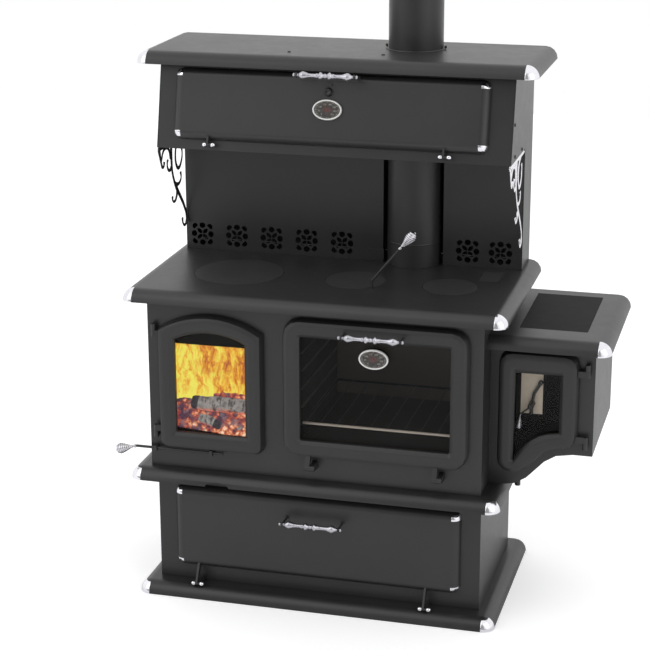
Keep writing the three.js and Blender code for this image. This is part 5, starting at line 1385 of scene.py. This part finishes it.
curtain = fold_back(spread(fire_wide, curtain_high, 120, 110), curtain_place)
modify(curtain, "DISPLACE", texture=noisy("curtain_waves", 0.03), strength=0.006, mid_level=0.5)
modify(curtain, "SOLIDIFY", thickness=0.0006, offset=0)
dress(smooth(curtain), "flame_curtain", flame_glow, "stove", "firebrick")

bed = fold_back(spread(fire_wide, bed_deep, 170, 60), bed_place)
modify(bed, "DISPLACE", texture=noisy("coal_lumps", 0.012, 4), strength=0.006, mid_level=0.5)
modify(bed, "SOLIDIFY", thickness=0.0015, offset=-1)
dress(smooth(bed, 60), "coal_bed", coal_glow, "stove", "firebrick")
print("curtain and bed", len(curtain.data.polygons), len(bed.data.polygons))

# %% [markdown]
# A log is a thick curve. A voxel remesh gives it the even small faces that the bark needs, and noise of
# two sizes pushes them in and out. Embers are short logs of the same make.

# %% Logs
BARK_VOXEL = 0.0016


def log_of(name, points, finish, detail):
    """A log along (x, y, z, radius) points in millimetres, with bark pushed in."""
    drawn = thick_curve(name, 0.001, 10, steps=detail // (len(points) - 1))
    run_through(drawn, [((x / 1000, y / 1000, z / 1000), radius) for x, y, z, radius in points])
    piece = as_mesh(drawn)
    modify(piece, "REMESH", mode="VOXEL", voxel_size=BARK_VOXEL, adaptivity=0.0)
    modify(piece, "DISPLACE", texture=noisy(name + "_bark", 0.016, 4), strength=0.0035, mid_level=0.5)
    modify(piece, "DISPLACE", texture=noisy(name + "_grain", 0.005, 3), strength=0.0012, mid_level=0.5)
    return dress(smooth(piece, 60), name, finish, "stove", "firebrick")


log_points = {
    "fire_log_upper": [(-346, 44, 570, 19), (-330, 45, 569, 20), (-270, 46, 570, 21.5), (-205, 48, 566, 21),
                       (-160, 52, 562, 20)],
    "fire_log_upper_end": [(-362, 41, 574, 15), (-354, 43, 572, 19.5), (-342, 44, 570, 20.3)],
    "fire_log_lower": [(-334, 30, 531, 13), (-310, 27, 527, 14), (-286, 25, 520, 14)],
    "fire_log_lower_end": [(-290, 24.5, 521, 14.4), (-277, 23, 517, 14), (-269, 22.5, 515, 11)],
    "fire_log_right": [(-236, 26, 507, 12), (-214, 28, 510, 13), (-170, 34, 514, 13)],
}
for name, points in log_points.items():
    burnt = name.endswith("_end")
    log_of(name, points, char_glow if burnt else log_glow, 30 if burnt else 90)

embers = ((-292, 59, 591, 6), (-276, 60, 592, 8), (-258, 60, 593, 7), (-240, 61, 592, 9), (-222, 61, 592, 7),
          (-204, 62, 590, 9))
for k, (x, y, z, r) in enumerate(embers):
    points = [(x - 8, y, z - 2, r), (x, y, z, r + 1), (x + 9, y, z - 1, r - 1)]
    log_of(f"fire_ember_{k + 1}", points, coal_glow, 20)
print("logs", len(log_points), "embers", len(embers))

# %% [markdown]
# Above the flames hangs a small dark plate. Its lower edge is extruded back into a lip.

# %% The plate above the flames
plate_high, plate_front, plate_foot = 0.066, 0.066, 0.7335
NEAR_THE_FOOT = 0.0005


def air_plate():
    """A folded plate that hangs before the flames' tips and sends air down the glass."""
    piece = spread(fire_wide, plate_high, 2, 1)
    fold_back(piece, lambda p: Vector((fire_left + p.x, plate_front, plate_foot + p.z)))
    edit(piece)
    bpy.ops.mesh.select_all(action="DESELECT")
    mesh = bmesh.from_edit_mesh(piece.data)
    for edge in mesh.edges:
        edge.select = all(v.co.z < plate_foot + NEAR_THE_FOOT for v in edge.verts)
    mesh.select_flush_mode()
    bpy.ops.mesh.extrude_edges_move(TRANSFORM_OT_translate={"value": (0, 0.007, -0.002)})
    close()
    modify(piece, "SOLIDIFY", thickness=0.002, offset=0)
    modify(piece, "BEVEL", width=0.0005, segments=2)
    return smooth(piece)


# The plate is sooty, and its near-black paint adds painted shade, so the fire's light does not show on it.
dress(air_plate(), "air_wash_plate", shade_and_soot_black, "stove", "grey_iron")
print("air plate hangs at z", plate_foot)

# %% [markdown]
# ## The studio
#
# The photograph was lit by a plain white room: the tops show it as a pale sheen, the fronts stay
# charcoal. A white world does the same, dimmer in front of the stove, with two soft lamps for shape. The
# camera sees it all white. The floor is as pale as the room, and glows a little for the camera alone, so
# that it meets the white world without a line. Mirror-like rays see it paler still, because the fronts
# take their sheen from it.

# %% Floor
FLOOR_SIZE, FLOOR_PLACE = 14, (0, 0.3, -0.0005)
PAPER, PAPER_FLECK, PAPER_IN_MIRRORS = (0.86, 0.86, 0.86, 1), (0.80, 0.80, 0.80, 1), (0.92, 0.92, 0.93, 1)
NO_GLOW, FLOOR_GLOW = (0, 0, 0, 1), (0.35, 0.35, 0.35, 1)


def studio_floor():
    """Pale paper with a faint fleck."""
    paper = Finish("studio_floor", Roughness=0.9)
    pale = paper.blend(paper.noise(60, 3) * 0.04, PAPER, PAPER_FLECK)
    seen = paper.add("LightPath", output="Is Camera Ray")
    mirrored = paper.add("LightPath", output="Is Glossy Ray")
    paper.set(Base_Color=paper.blend(mirrored, pale, PAPER_IN_MIRRORS))
    paper.set(Emission_Color=paper.blend(seen, NO_GLOW, FLOOR_GLOW), Emission_Strength=1.0)
    return paper.material


bpy.ops.mesh.primitive_plane_add(size=FLOOR_SIZE, location=FLOOR_PLACE)
floor = settle(bpy.context.object)
floor.name = "floor"
floor.data.materials.append(studio_floor())
print("floor", FLOOR_SIZE, "m wide")

# %% World
FRONT = (0.05, -0.99, -0.05)
DIM_STARTS, DIM_ENDS, LEFT_WHEN_DIM = 0.50, 0.78, 0.34

world = bpy.data.worlds.new("white_room")
bpy.context.scene.world = world
world.use_nodes = True
tree = world.node_tree
sky = tree.nodes["Background"]
sky.inputs["Strength"].default_value = 1.0
seen_way = tree.nodes.new("ShaderNodeTexCoord").outputs["Generated"]
forward = tree.nodes.new("ShaderNodeVectorMath")
forward.operation = "DOT_PRODUCT"
forward.inputs[1].default_value = FRONT
dim = tree.nodes.new("ShaderNodeMapRange")
ramp = {"From Min": DIM_STARTS, "From Max": DIM_ENDS, "To Min": 1.0, "To Max": LEFT_WHEN_DIM}
for key, value in ramp.items():
    dim.inputs[key].default_value = value
lightest = tree.nodes.new("ShaderNodeMath")
lightest.operation = "MAXIMUM"
tree.links.new(seen_way, forward.inputs[0])
tree.links.new(forward.outputs["Value"], dim.inputs["Value"])
tree.links.new(dim.outputs["Result"], lightest.inputs[0])
tree.links.new(tree.nodes.new("ShaderNodeLightPath").outputs["Is Camera Ray"], lightest.inputs[1])
tree.links.new(lightest.outputs[0], sky.inputs["Color"])
print("world", world.name)

# %% Lamps


def lamp(name, place, towards, size, watts):
    """A square soft light at a place, turned towards a point."""
    light = placed(name, bpy.data.lights.new(name, "AREA"))
    light.data.size = size
    light.data.energy = watts
    light.location = place
    light.rotation_euler = (Vector(towards) - Vector(place)).to_track_quat("-Z", "Y").to_euler()
    return light


middle = (0, 0.2, 0.85)
lamp("key", (-2.6, -3.2, 3.4), middle, 4.6, 55)
lamp("fill", (3.4, -2.2, 2.4), middle, 4.0, 30)
